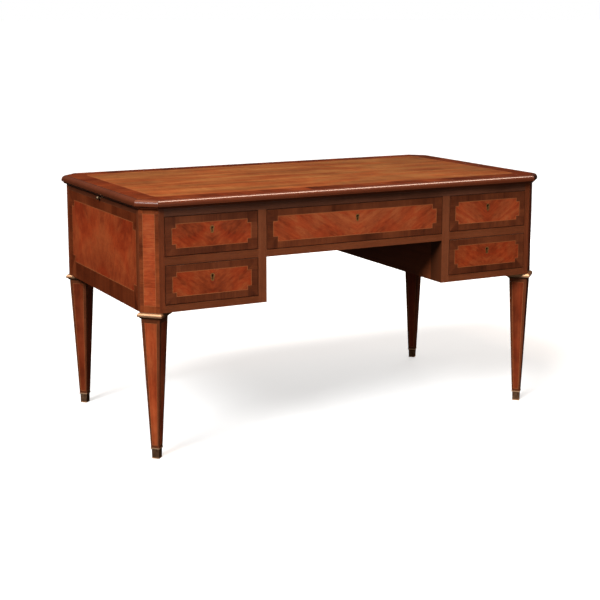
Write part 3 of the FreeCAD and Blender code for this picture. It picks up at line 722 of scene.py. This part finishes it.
class NodeTree(Wiring):
    """A geometry tree with named inputs that is run once and turned into a plain mesh."""

    def __init__(self, name: str, inputs: dict[str, str]) -> None:
        """Start a tree with a geometry input and output.

        Args:
            name: name of the tree.
            inputs: names of the further inputs and their socket types.
        """
        super().__init__(bpy.data.node_groups.new(name, "GeometryNodeTree"))
        face = self.tree.interface
        face.new_socket("Geometry", in_out="INPUT", socket_type="NodeSocketGeometry")
        self.keys = {key: face.new_socket(key, in_out="INPUT", socket_type=kind).identifier
                     for key, kind in inputs.items()}
        face.new_socket("Geometry", in_out="OUTPUT", socket_type="NodeSocketGeometry")
        self.start = self.add("NodeGroupInput").outputs

    def times(self, value: Socket, factor: float) -> Socket:
        """The value times a factor."""
        return self.add("ShaderNodeMath", {0: value, 1: factor}, operation="MULTIPLY").outputs[0]

    def vector(self, **parts: object) -> Socket:
        """A vector from its X, Y and Z."""
        return self.add("ShaderNodeCombineXYZ", parts).outputs[0]

    def close(self, geometry: Socket) -> None:
        """End the tree with real meshes and their material.

        Args:
            geometry: socket of the geometry.
        """
        real = self.add("GeometryNodeRealizeInstances", {"Geometry": geometry})
        dressed = self.add("GeometryNodeSetMaterial", {
            "Geometry": real.outputs[0], "Material": self.start["Finish"]})
        self.add("NodeGroupOutput", {0: dressed.outputs[0]})

    def run(self, name: str, points: Sequence[Vector], edges: Sequence[tuple[int, int]],
            **values: object) -> bpy.types.Mesh:
        """Run the tree on points and edges.

        Args:
            name: name of the result.
            points: points in metres.
            edges: pairs of points.
            values: values of the named inputs.

        Returns:
            A plain mesh.
        """
        seed = bpy.data.meshes.new(name + "_seed")
        seed.from_pydata([tuple(point) for point in points], edges, [])
        carrier = bpy.data.objects.new(name + "_carrier", seed)
        bpy.context.scene.collection.objects.link(carrier)
        modifier = carrier.modifiers.new("tree", "NODES")
        modifier.node_group = self.tree
        for key, value in values.items():
            modifier[self.keys[key]] = value
        graph = bpy.context.evaluated_depsgraph_get()
        mesh = bpy.data.meshes.new_from_object(carrier.evaluated_get(graph))
        carrier.modifiers.clear()
        bpy.data.objects.remove(carrier)
        bpy.data.meshes.remove(seed)
        for polygon in mesh.polygons:
            polygon.use_smooth = False
        return mesh


class StringLines(NodeTree):
    """Fine inlaid lines that follow closed outlines."""

    def __init__(self) -> None:
        """Build the tree: a square section drawn along every outline."""
        super().__init__("string_lines", {"Section": "NodeSocketFloat", "Finish": "NodeSocketMaterial"})
        section = self.start["Section"]
        path = self.add("GeometryNodeMeshToCurve", {"Mesh": self.start["Geometry"]})
        profile = self.add("GeometryNodeCurvePrimitiveQuadrilateral", {"Width": section, "Height": section})
        line = self.add("GeometryNodeCurveToMesh", {
            "Curve": path.outputs["Curve"], "Profile Curve": profile.outputs["Curve"]})
        self.close(line.outputs["Mesh"])


class PlateScrews(NodeTree):
    """Slotted screw heads, one on each point, turned at random about their own axes.

    The slot's sizes are shares of the head's radius, and its level is a share of the head's height.
    """

    HEAD_SIDES = 20
    SLOT_LENGTH = 3.0
    SLOT_WIDTH = 0.36
    SLOT_LEVEL = 0.55

    def __init__(self) -> None:
        """Build the tree: a round head with a slot cut across it, copied to every point."""
        super().__init__("plate_screws", {
            "Radius": "NodeSocketFloat", "Height": "NodeSocketFloat", "Tilt": "NodeSocketVector",
            "Seed": "NodeSocketInt", "Finish": "NodeSocketMaterial"})
        radius, height = self.start["Radius"], self.start["Height"]
        head = self.add("GeometryNodeMeshCylinder", {
            "Vertices": self.HEAD_SIDES, "Radius": radius, "Depth": height})
        bar = self.add("GeometryNodeMeshCube", {"Size": self.vector(
            X=self.times(radius, self.SLOT_LENGTH), Y=self.times(radius, self.SLOT_WIDTH), Z=height)})
        raised = self.add("GeometryNodeTransform", {
            "Geometry": bar.outputs[0], "Translation": self.vector(Z=self.times(height, self.SLOT_LEVEL))})
        parts = {"Mesh 1": head.outputs["Mesh"], "Mesh 2": raised.outputs[0]}
        slotted = self.add("GeometryNodeMeshBoolean", parts, operation="DIFFERENCE", solver="EXACT")
        copies = self.add("GeometryNodeInstanceOnPoints", {
            "Points": self.start["Geometry"], "Instance": slotted.outputs["Mesh"],
            "Rotation": self.start["Tilt"]})
        turn = self.add("FunctionNodeRandomValue", {"Seed": self.start["Seed"], 3: math.tau},
                        data_type="FLOAT")
        turned = self.add("GeometryNodeRotateInstances", {
            "Instances": copies.outputs[0], "Rotation": self.vector(Z=turn.outputs[1]), "Local Space": True})
        self.close(turned.outputs[0])


@dataclass
class Workshop:
    """What every sub-assembly needs: finishes, trees and one fixed random stream."""

    finishes: Finishes = field(default_factory=Finishes)
    lines: StringLines = field(default_factory=StringLines)
    screws: PlateScrews = field(default_factory=PlateScrews)
    chance: random.Random = field(default_factory=lambda: random.Random(1788))
    wood_reach: float = 40.0
    leaf_length: float = 190.0
    screw_height: float = 0.0011
    screw_seed: int = 7

    def start(self) -> Point:
        """A random place in the pattern of a wood."""
        return self.chance.uniform(0.0, self.wood_reach), self.chance.uniform(0.0, self.wood_reach)

    def leaf(self, outline: list[Point], angle: float) -> Leaf:
        """A leaf from a random place in the wood, with its grain at an angle in degrees."""
        return Leaf(outline, angle, start=self.start())

    def lay(self, name: str, finish: str, leaves: Sequence[Laid], body: str = "case",
            slot: str = "case_wood", thickness: float = 0.3) -> None:
        """Make one piece of veneer from leaves on their faces."""
        Veneer(name, self.finishes[finish], leaves, body, slot, thickness).build()

    def string(self, name: str, loops: Sequence[tuple[Face, list[Point]]], body: str, width: float,
               proud: float = 0.36, mitred: bool = True) -> None:
        """Inlay lines round outlines.

        Args:
            name: name of the piece.
            loops: outlines on their faces.
            body: body that the piece rides on.
            width: width of the line in millimetres.
            proud: height of the line above the face in millimetres.
            mitred: True where the outlines have square corners, which narrow a drawn section.
        """
        section = width * (math.sqrt(2) if mitred else 1.0)
        points: list[Vector] = []
        edges: list[tuple[int, int]] = []
        for face, outline in loops:
            first = len(points)
            points += [face.at(point, proud - section / 2) for point in outline]
            count = len(outline)
            edges += [(first + index, first + (index + 1) % count) for index in range(count)]
        mesh = self.lines.run(name, points, edges, Section=section * MM, Finish=self.finishes["string_wood"])
        hand_over(name, mesh, body)

    def fasten(self, name: str, points: Sequence[Vector], tilt: Vector, body: str, radius: float) -> None:
        """Put slotted screws on points in metres; tilt turns +Z to the way the heads look."""
        mesh = self.screws.run(name, points, [], Radius=radius * MM, Height=self.screw_height, Tilt=tilt,
                               Seed=self.screw_seed, Finish=self.finishes["lock_brass"])
        hand_over(name, mesh, body)

    def border(self, outer: Rect, inner: Rect) -> list[Leaf]:
        """Crossbanding between a rectangle and the notched field inside it.

        Args:
            outer: outer edge of the banding.
            inner: inner edge of the banding.

        Returns:
            The leaves, with their grain across the band.
        """
        (a0, b0), (a1, b1), n = outer.low, outer.high, inner.notch
        (x0, y0), (x1, y1) = inner.low, inner.high
        leaves = []
        corners = (((a0, b0), (x0 + n, y0 + n)), ((a1, b0), (x1 - n, y0 + n)),
                   ((a1, b1), (x1 - n, y1 - n)), ((a0, b1), (x0 + n, y1 - n)))
        for index, (tip, inside) in enumerate(corners):
            level = [tip, (inside[0], tip[1]), inside]
            upright = [tip, inside, (tip[0], inside[1])]
            if index % 2:
                level.reverse()
                upright.reverse()
            leaves += [self.leaf(level, 90.0), self.leaf(upright, 0.0)]
        runs = [(run, side, 90.0) for side in ((b0, y0), (y1, b1))
                for run in lengths(x0 + n, x1 - n, self.leaf_length)]
        runs += [(side, run, 0.0) for side in ((a0, x0), (x1, a1))
                 for run in lengths(y0 + n, y1 - n, self.leaf_length)]
        for (left, right), (low, high), angle in runs:
            leaves.append(self.leaf([(left, low), (right, low), (right, high), (left, high)], angle))
        return leaves

    def bookmatch(self, rect: Rect, angle: float, hole: Sequence[Point] = ()) -> list[Leaf]:
        """Two mirrored leaves that meet at the middle of a field.

        Args:
            rect: the field.
            angle: way of the grain on the right leaf, in degrees.
            hole: right half of a hole on the middle line, from its bottom to its top.

        Returns:
            The two leaves.
        """
        middle = rect.middle
        seam = [(middle, rect.high[1]), *reversed(list(hole)), (middle, rect.low[1])]
        right = [*rect.right_side(), *seam]
        left = [(2 * middle - x, y) for x, y in reversed(right)]
        start = self.start()
        twin = (start[0] + 2 * middle * math.cos(math.radians(angle)) * MM,
                start[1] - 2 * middle * math.sin(math.radians(angle)) * MM)
        return [Leaf(right, angle, start=start), Leaf(left, angle, True, twin)]


@dataclass
class Assembly:
    """A part of the table that is dressed with what the workshop has."""

    shop: Workshop

    def dress(self) -> None:
        """Make the part's pieces."""
        raise NotImplementedError


@dataclass
class InlaidPanel(Assembly):
    """A panel with a figured field, a fine line round it and crossbanding outside."""

    name: str
    face: Face
    outer: Rect
    inner: Rect
    angle: float
    body: str = "case"
    line: float = 1.3
    hole: Sequence[Point] = ()
    tones: tuple[str, str] = ("field_veneer", "band_veneer")
    matched: bool = True

    def dress(self) -> None:
        """Make the field, of two mirrored leaves where it is matched, the banding and the line."""
        half = self.line / 2
        inside = self.inner.grown(-half)
        if self.matched:
            leaves = self.shop.bookmatch(inside, self.angle, self.hole)
        else:
            leaves = [self.shop.leaf(inside.outline(), self.angle)]
        bands = self.shop.border(self.outer, self.inner.grown(half))
        for label, tone, part in zip(("_field", "_banding"), self.tones, (leaves, bands)):
            self.shop.lay(self.name + label, tone, [(self.face, leaf) for leaf in part], self.body)
        self.shop.string(self.name + "_string", [(self.face, self.inner.outline())], self.body, self.line)


@dataclass
class TableTop(Assembly):
    """Field, line and crossbanding of the writing surface."""

    height: float = 760.0
    half_length: float = 685.5
    half_depth: float = 365.5
    cant: float = 43.3
    field_x: float = 627.0
    field_y: float = 305.0
    corner_radius: float = 25.0
    line: float = 1.8
    line_proud: float = 0.05
    arc_steps: int = 10
    leaf_length: float = 160.0
    thickness: float = 0.15

    def rounded(self, shrink: float) -> list[Point]:
        """Outline of the field, counterclockwise from the lower right arc.

        Args:
            shrink: how far the outline moves in.

        Returns:
            The points, with arc_steps + 1 on each corner.
        """
        x, y = self.field_x - self.corner_radius, self.field_y - self.corner_radius
        points = []
        for quarter, (across, deep) in enumerate(((1, -1), (1, 1), (-1, 1), (-1, -1))):
            points += arc((across * x, deep * y), self.corner_radius - shrink, 90 * (quarter - 1),
                          90 * quarter, self.arc_steps)
        return points

    def bands(self) -> list[Leaf]:
        """Crossbanding between the field and the moulded edge.

        Returns:
            The leaves, with their grain across the band.
        """
        inner = self.rounded(-self.line / 2)
        per_corner = self.arc_steps + 1
        mid = self.arc_steps // 2
        x, y, c = self.half_length, self.half_depth, self.cant
        rim = [(x - c, -y), (x, -y + c), (x, y - c), (x - c, y), (-x + c, y), (-x, y - c), (-x, -y + c),
               (-x + c, -y)]
        leaves = []
        for corner in range(4):
            into, out, following = (rim[(2 * corner + step) % 8] for step in range(3))
            near, far = (inner[(corner + step) % 4 * per_corner:][:per_corner] for step in (0, 1))
            cross = 90 * corner
            leaves.append(self.shop.leaf([into, out, near[mid]], cross - 45))
            leaves += self.side_leaves(out, following, [*near[mid:], *far[:mid + 1]], cross)
        return leaves

    def side_leaves(self, start: Point, end: Point, inner: list[Point], angle: float) -> list[Leaf]:
        """Leaves of one long or short band.

        Args:
            start: first outer corner.
            end: last outer corner.
            inner: inner edge from the first corner to the last.
            angle: way of the grain in degrees.

        Returns:
            The leaves.
        """
        half = len(inner) // 2
        first, last = inner[half - 1], inner[half]
        axis = 1 if abs(end[1] - start[1]) > abs(end[0] - start[0]) else 0

        def outer_at(place: Point) -> Point:
            """Point of the outer edge beside a point of the inner edge."""
            return (start[0], place[1]) if axis else (place[0], start[1])

        outlines = [[start, outer_at(first), *reversed(inner[:half])]]
        for ends in lengths(0.0, 1.0, self.leaf_length / abs(last[axis] - first[axis])):
            near, far = (tuple(first[k] + (last[k] - first[k]) * share for k in (0, 1)) for share in ends)
            outlines.append([outer_at(near), outer_at(far), far, near])
        outlines.append([outer_at(last), end, *reversed(inner[half:])])
        return [self.shop.leaf(outline, angle) for outline in outlines]

    def dress(self) -> None:
        """Make the field, the banding and the line."""
        face = Face(Vector((0.0, 0.0, self.height)), Vector((1.0, 0.0, 0.0)), Vector((0.0, 1.0, 0.0)))
        field_leaf = self.shop.leaf(self.rounded(self.line / 2), 0.0)
        parts = {"top_field": [field_leaf], "top_banding": self.bands()}
        for (name, leaves), tone in zip(parts.items(), ("top_veneer", "top_band_veneer")):
            self.shop.lay(name, tone, [(face, leaf) for leaf in leaves], slot="top_veneer",
                          thickness=self.thickness)
        self.shop.string("top_string", [(face, self.rounded(0.0))], "case", self.line,
                         self.thickness + self.line_proud, False)


@dataclass
class Drawer(Assembly):
    """Veneered front of one drawer, with the screws of its lock and bottom."""

    name: str
    margin: float = 20.5
    notch: float = 12.0
    angle: float = 34.0
    tone: str = "field_veneer"
    front_y: float = -365.0
    ease: float = 0.7
    plate_half: float = 28.0
    screw_levels: tuple[float, float] = (-12.0, -52.0)
    plate_screw: float = 2.6
    floor_shares: tuple[float, float, float] = (0.18, 0.5, 0.82)
    floor_inset: float = 6.0
    floor_screw: float = 2.8
    hole_radius: float = 7.05
    slot_half: float = 5.05
    slot_drop: float = 10.5
    keyhole_drop: float = 39.0
    slot_steps: int = 6
    hole_steps: int = 12

    def keyhole(self, middle: float, level: float) -> list[Point]:
        """Right half of the keyhole plate's outline, from its bottom to its top.

        Args:
            middle: middle of the drawer.
            level: height of the round part's centre.

        Returns:
            The points.
        """
        low = -math.degrees(math.acos(self.slot_half / self.hole_radius))
        slot = arc((middle, level - self.slot_drop), self.slot_half, -90, 0, self.slot_steps)
        return slot + arc((middle, level), self.hole_radius, low, 90, self.hole_steps)

    def dress(self) -> None:
        """Make the veneers, the line and the screws."""
        low, high = (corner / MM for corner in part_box(self.name + "_front"))
        outer = Rect((low.x + self.ease, low.z + self.ease), (high.x - self.ease, high.z - self.ease))
        inner = Rect(outer.low, outer.high, self.notch).grown(-self.margin)
        face = Face.upright((0.0, self.front_y, 0.0), Vector((0.0, -1.0, 0.0)))
        middle = outer.middle
        InlaidPanel(self.shop, self.name, face, outer, inner, self.angle, self.name,
                    hole=self.keyhole(middle, high.z - self.keyhole_drop),
                    tones=(self.tone, "band_veneer")).dress()
        plate_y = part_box(self.name + "_lock")[1].y
        places = [Vector(((middle + side * self.plate_half) * MM, plate_y, (high.z + level) * MM))
                  for side in (-1, 1) for level in self.screw_levels]
        to_back = Vector((-math.pi / 2, 0.0, 0.0))
        self.shop.fasten(self.name + "_lock_screws", places, to_back, self.name, self.plate_screw)
        floor_low, floor_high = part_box(self.name + "_bottom")
        rear_y = floor_high.y - self.floor_inset * MM
        rear = [Vector((floor_low.x + (floor_high.x - floor_low.x) * share, rear_y, floor_low.z))
                for share in self.floor_shares]
        downward = Vector((math.pi, 0.0, 0.0))
        self.shop.fasten(self.name + "_bottom_screws", rear, downward, self.name, self.floor_screw)


@dataclass
class CasePanels(Assembly):
    """Inlaid panels of the two ends and the back."""

    half_length: float = 685.0
    half_depth: float = 365.0
    post_y: float = 305.0
    low_z: float = 436.0
    end_high_z: float = 715.4
    end_back_y: float = 270.0
    end_front_y: float = 298.0
    end_field_z: Point = (489.0, 688.0)
    end_notch: float = 20.0
    end_line: float = 1.5
    back_high_z: float = 711.0
    back_notch: float = 15.0
    back_margin: float = 22.0
    post_x: float = 625.0
    pedestal_x: float = 333.0
    knee_x: float = 306.0
    centre_low_z: float = 571.0
    steep: float = 66.0
    slanting: float = 30.0

    def dress(self) -> None:
        """Make the panels."""
        for side, label in ((-1, "left"), (1, "right")):
            face = Face.upright((side * self.half_length, 0.0, 0.0), Vector((side, 0.0, 0.0)))
            outer = Rect((-self.post_y, self.low_z), (self.post_y, self.end_high_z))
            left, right = sorted((side * self.end_back_y, -side * self.end_front_y))
            inner = Rect((left, self.end_field_z[0]), (right, self.end_field_z[1]), self.end_notch)
            InlaidPanel(self.shop, f"end_{label}", face, outer, inner, self.steep, line=self.end_line,
                        tones=("end_veneer", "end_band_veneer")).dress()
        rear = Face.upright((0.0, self.half_depth, 0.0), Vector((0.0, 1.0, 0.0)))
        for label, x0, x1, z0, angle in (
                ("left", self.pedestal_x, self.post_x, self.low_z, self.steep),
                ("right", -self.post_x, -self.pedestal_x, self.low_z, self.steep),
                ("centre", -self.knee_x, self.knee_x, self.centre_low_z, self.slanting)):
            outer = Rect((x0, z0), (x1, self.back_high_z))
            inner = Rect(outer.low, outer.high, self.back_notch).grown(-self.back_margin)
            InlaidPanel(self.shop, f"back_{label}", rear, outer, inner, angle).dress()


@dataclass
class CornerLeg(Assembly):
    """Veneer on the cut-off face of a post and on the four faces of its leg."""

    FACES = ((-1, -1), (1, -1), (1, 1), (-1, 1))

    corner: Corner
    tone: str
    half_length: float = 685.0
    half_depth: float = 365.0
    cant: float = 43.0
    post_low: float = 436.0
    post_high: float = 735.0
    post_margin: tuple[float, float, float] = (12.0, 20.0, 16.0)
    post_gaps: Point = (0.3, 0.2)
    post_angle: float = 2.0
    leg_x: float = 642.464
    leg_y: float = 322.464
    foot_z: float = 33.0
    leg_top: float = 59.5
    leg_foot: float = 25.5
    arris: float = 0.7
    low_z: float = 33.2
    high_z: float = 418.3
    borders: Point = (4.6, 9.5)
    ends: Point = (8.0, 13.0)
    line: float = 0.9

    def post(self) -> None:
        """Dress the cut-off face of the post."""
        side, end = self.corner.value
        middle = (side * (self.half_length - self.cant / 2), end * (self.half_depth - self.cant / 2), 0.0)
        half = self.cant / math.sqrt(2) - self.post_gaps[0]
        gap = self.post_gaps[1]
        aside, low, high = self.post_margin
        outer = Rect((-half, self.post_low + gap), (half, self.post_high - gap))
        inner = Rect((-half + aside, self.post_low + low), (half - aside, self.post_high - high))
        face = Face.upright(middle, self.corner.outward)
        InlaidPanel(self.shop, f"post_{self.corner.label}", face, outer, inner, self.post_angle,
                    line=self.line, tones=("post_veneer", "post_band_veneer"), matched=False).dress()

    @property
    def lean(self) -> float:
        """How far a face of the leg leans out over a unit of height."""
        return (self.leg_top - self.leg_foot) / 2 / (self.post_low - self.foot_z)

    def tapered(self, low: float, high: float, trims: Point) -> list[Point]:
        """A strip of a leg face.

        Args:
            low: height of its foot.
            high: height of its top.
            trims: what is off each side at the foot and at the top.

        Returns:
            The four corners, counterclockwise.
        """
        foot, top = (self.leg_foot / 2 + self.lean * (level - self.foot_z) - self.arris - trim
                     for level, trim in zip((low, high), trims))
        return [(-foot, low), (foot, low), (top, high), (-top, high)]

    def inset(self, by: float) -> list[Point]:
        """Outline of a leg face's field, moved in."""
        return self.tapered(self.low_z + self.ends[0] + by, self.high_z - self.ends[1] - by,
                            (self.borders[0] + by, self.borders[1] + by))

    def leg(self) -> None:
        """Dress the four faces of the leg."""
        side, end = self.corner.value
        name = f"leg_{self.corner.label}"
        outer = self.tapered(self.low_z, self.high_z, (0.0, 0.0))
        inner = self.inset(-self.line / 2)
        fields, bands, outlines = [], [], []
        for across, deep in self.FACES:
            outward = Vector((across, deep, 0.0)).normalized()
            foot = Vector((side * self.leg_x, end * self.leg_y, 0.0))
            foot += outward * (self.leg_foot / 2 - self.foot_z * self.lean)
            face = Face(foot, UP.cross(outward), UP + outward * self.lean)
            fields.append((face, self.shop.leaf(self.inset(self.line / 2), 90.0)))
            for index in range(4):
                after = (index + 1) % 4
                outline = [outer[index], outer[after], inner[after], inner[index]]
                bands.append((face, self.shop.leaf(outline, 0.0 if index % 2 else 90.0)))
            outlines.append((face, self.inset(0.0)))
        self.shop.lay(name + "_field", self.tone, fields)
        self.shop.lay(name + "_banding", "leg_band_veneer", bands)
        self.shop.string(name + "_string", outlines, "case", self.line)

    def dress(self) -> None:
        """Dress the post and the leg."""
        self.post()
        self.leg()


@dataclass
class SolidParts(Assembly):
    """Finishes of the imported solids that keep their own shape.

    Moving parts are told by the end of their names, and the case's by the start, in this order.
    """

    moving: dict[str, str] = field(default_factory=lambda: {
        # Drawer front solids carry the painted shade of the gaps.
        "_front": "front_wood",
        "_box": "drawer_oak",
        "_bottom": "drawer_oak",
        "_lock": "lock_brass",
        "_lock_bolt": "bolt_steel",
        "_escutcheon": "fitting_brass",
        "_board": "case_wood",
        "_edge": "case_wood_deep",
        "_knob": "knob_brass",
    })
    fixed: dict[str, str] = field(default_factory=lambda: {
        "top_panel": "case_wood",
        "top_edge_moulding": "moulding_wood",
        "side_panel": "case_wood_deep",
        "back_panel": "case_wood",
        "knee_side": "knee_wood",
        # The frieze rails carry partly painted shade from the moulding's overhang.
        "front_top_rail": "frieze_wood",
        "back_top_rail": "frieze_wood",
        "drawer_rails": "case_wood",
        "knee_stiles": "case_wood_upright",
        "leg_collars": "collar_brass",
        "leg_sabots": "sabot_brass",
        "leg_": "post_wood",
        **dict.fromkeys(("pedestal_", "centre_runners", "kickers", "drawer_stops"), "inner_oak"),
    })

    def finish_of(self, node: str) -> str:
        """Name of the finish of a node."""
        by_end = [finish for end, finish in self.moving.items() if node.endswith(end)]
        return (by_end or [finish for start, finish in self.fixed.items() if node.startswith(start)])[0]

    def dress(self) -> None:
        """Give every solid its finish."""
        for name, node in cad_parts.items():
            material = self.shop.finishes[self.finish_of(name)]
            if not node.material_slots:
                node.data.materials.append(material)
            for place in node.material_slots:
                place.material = material
            log.info("%s: %s", name, material.name)


@dataclass
class Lamp:
    """One soft studio light."""

    name: str
    place: Place
    target: Place
    energy: float
    size: tuple[float, float] = (1.0, 1.0)
    angle: float | None = None
    glossy: bool = True
    diffuse: bool = True
    tint: Colour = (1.0, 1.0, 1.0)

    def build(self) -> None:
        """Put the light into the scene; a light with an angle is a soft sun."""
        data = bpy.data.lights.new(self.name, "AREA" if self.angle is None else "SUN")
        data.energy = self.energy
        data.color = self.tint
        if self.angle is None:
            data.shape = "RECTANGLE"
            data.size, data.size_y = self.size
        else:
            data.angle = math.radians(self.angle)
        lamp = bpy.data.objects.new(self.name, data)
        lamp.location = self.place
        lamp.visible_glossy = self.glossy
        lamp.visible_diffuse = self.diffuse
        way = Vector(self.target) - Vector(self.place)
        lamp.rotation_euler = way.to_track_quat("-Z", "Y").to_euler()
        bpy.context.scene.collection.objects.link(lamp)


@dataclass
class Studio:
    """Pale floor, soft light and the camera."""

    floor_finish: bpy.types.Material
    camera_place: Place = (-1.993, -3.7908, 1.26)
    yaw: float = 27.68
    pitch: float = 9.506
    lens: float = 79.64
    sensor: float = 36.0
    shift: float = -0.1
    floor_half: float = 400.0
    room_light: tuple[Point, ...] = ((-0.1, 0.035), (0.1, 0.07), (0.5, 0.25), (1.0, 0.5))
    room_tint: Colour = (1.0, 0.86, 0.74)
    seen_sky: float = 1.0
    mirrored_room: float = 0.35
    lamps: list[Lamp] = field(default_factory=lambda: [
        Lamp("key", (-3.2, -2.0, 3.2), (0.0, 0.0, 0.0), 3.9, angle=24.0),
        Lamp("over", (1.05, -0.72, 2.8), (1.05, -0.72, 0.0), 72.0, (2.4, 0.6), diffuse=False,
             tint=(1.0, 0.76, 0.6)),
        Lamp("above", (-0.6, -0.72, 2.8), (-0.6, -0.72, 0.0), 60.0, (1.0, 0.6), glossy=False,
             tint=(1.0, 0.76, 0.6)),
        Lamp("corner", (-1.5, 0.1, 2.8), (-1.5, 0.1, 0.0), 5.0, (0.9, 0.7), tint=(1.0, 0.55, 0.34)),
        Lamp("front", (-0.6, -4.0, 1.3), (0.3, 0.0, 0.55), 24.0, (2.0, 1.0), tint=(1.0, 0.92, 0.84)),
        Lamp("rear", (2.8, 2.8, 0.9), (0.0, 0.0, 0.5), 70.0, (2.0, 1.2), glossy=False),
    ])

    def world(self) -> bpy.types.World:
        """A dim room, brighter overhead, dimmer still where polish mirrors it, with a pale backdrop.

        Returns:
            The world.
        """
        world = bpy.data.worlds.new("studio")
        world.use_nodes = True
        sky = Wiring(world.node_tree)
        way = sky.add("ShaderNodeTexCoord").outputs["Generated"]
        rise = sky.add("ShaderNodeSeparateXYZ", {0: way}).outputs["Z"]
        shades = sky.graded(rise, [(level, tuple(strength * part for part in self.room_tint))
                                   for level, strength in self.room_light])
        path = sky.add("ShaderNodeLightPath").outputs
        dimmed = sky.add("ShaderNodeMath", {0: path["Is Glossy Ray"], 1: self.mirrored_room - 1.0, 2: 1.0},
                         operation="MULTIPLY_ADD")
        room = sky.add("ShaderNodeBackground", {"Color": shades, "Strength": dimmed.outputs[0]})
        backdrop = sky.add("ShaderNodeBackground", {
            "Color": (1.0, 1.0, 1.0, 1.0), "Strength": self.seen_sky})
        mix = sky.add("ShaderNodeMixShader", {
            0: path["Is Camera Ray"], 1: room.outputs[0], 2: backdrop.outputs[0]})
        sky.add("ShaderNodeOutputWorld", {"Surface": mix.outputs[0]})
        return world

    def build(self) -> None:
        """Make the floor, the world, the lights and the camera."""
        scene = bpy.context.scene
        half = self.floor_half
        mesh = bpy.data.meshes.new("floor")
        corners = [(-half, -half, 0.0), (half, -half, 0.0), (half, half, 0.0), (-half, half, 0.0)]
        mesh.from_pydata(corners, [], [(0, 1, 2, 3)])
        mesh.materials.append(self.floor_finish)
        floor = bpy.data.objects.new("floor", mesh)
        scene.collection.objects.link(floor)
        floor.visible_glossy = False
        floor.visible_diffuse = False
        scene.world = self.world()
        scene.view_settings.view_transform = "Standard"
        for lamp in self.lamps:
            lamp.build()
        data = bpy.data.cameras.new("camera")
        data.sensor_width = self.sensor
        data.lens = self.lens
        data.shift_y = self.shift
        camera = bpy.data.objects.new("camera", data)
        camera.location = self.camera_place
        camera.rotation_euler = (math.radians(90.0 - self.pitch), 0.0, math.radians(-self.yaw))
        scene.collection.objects.link(camera)
        scene.camera = camera


def main() -> None:
    """Build the table's finishes and inlays, then the studio."""
    logging.basicConfig(level=logging.INFO, format="%(name)s: %(message)s")
    shop = Workshop()
    assemblies = [
        SolidParts(shop),
        TableTop(shop),
        Drawer(shop, "drawer_left_upper"),
        Drawer(shop, "drawer_left_lower"),
        # The right upper and centre fronts get the copy with painted sheen.
        Drawer(shop, "drawer_right_upper", tone="field_veneer_pale"),
        Drawer(shop, "drawer_right_lower"),
        Drawer(shop, "drawer_centre", margin=20.0, notch=15.0, angle=30.0, tone="field_veneer_pale"),
        CasePanels(shop),
    ]
    for corner in Corner:
        # The front left leg has the lit tone and the other legs the copy with painted shade.
        tone = "leg_veneer" if corner is Corner.FRONT_LEFT else "leg_veneer_deep"
        assemblies.append(CornerLeg(shop, corner, tone))
    for assembly in assemblies:
        assembly.dress()
    Studio(shop.finishes["studio_floor"]).build()


if __name__ == "__main__":
    main()
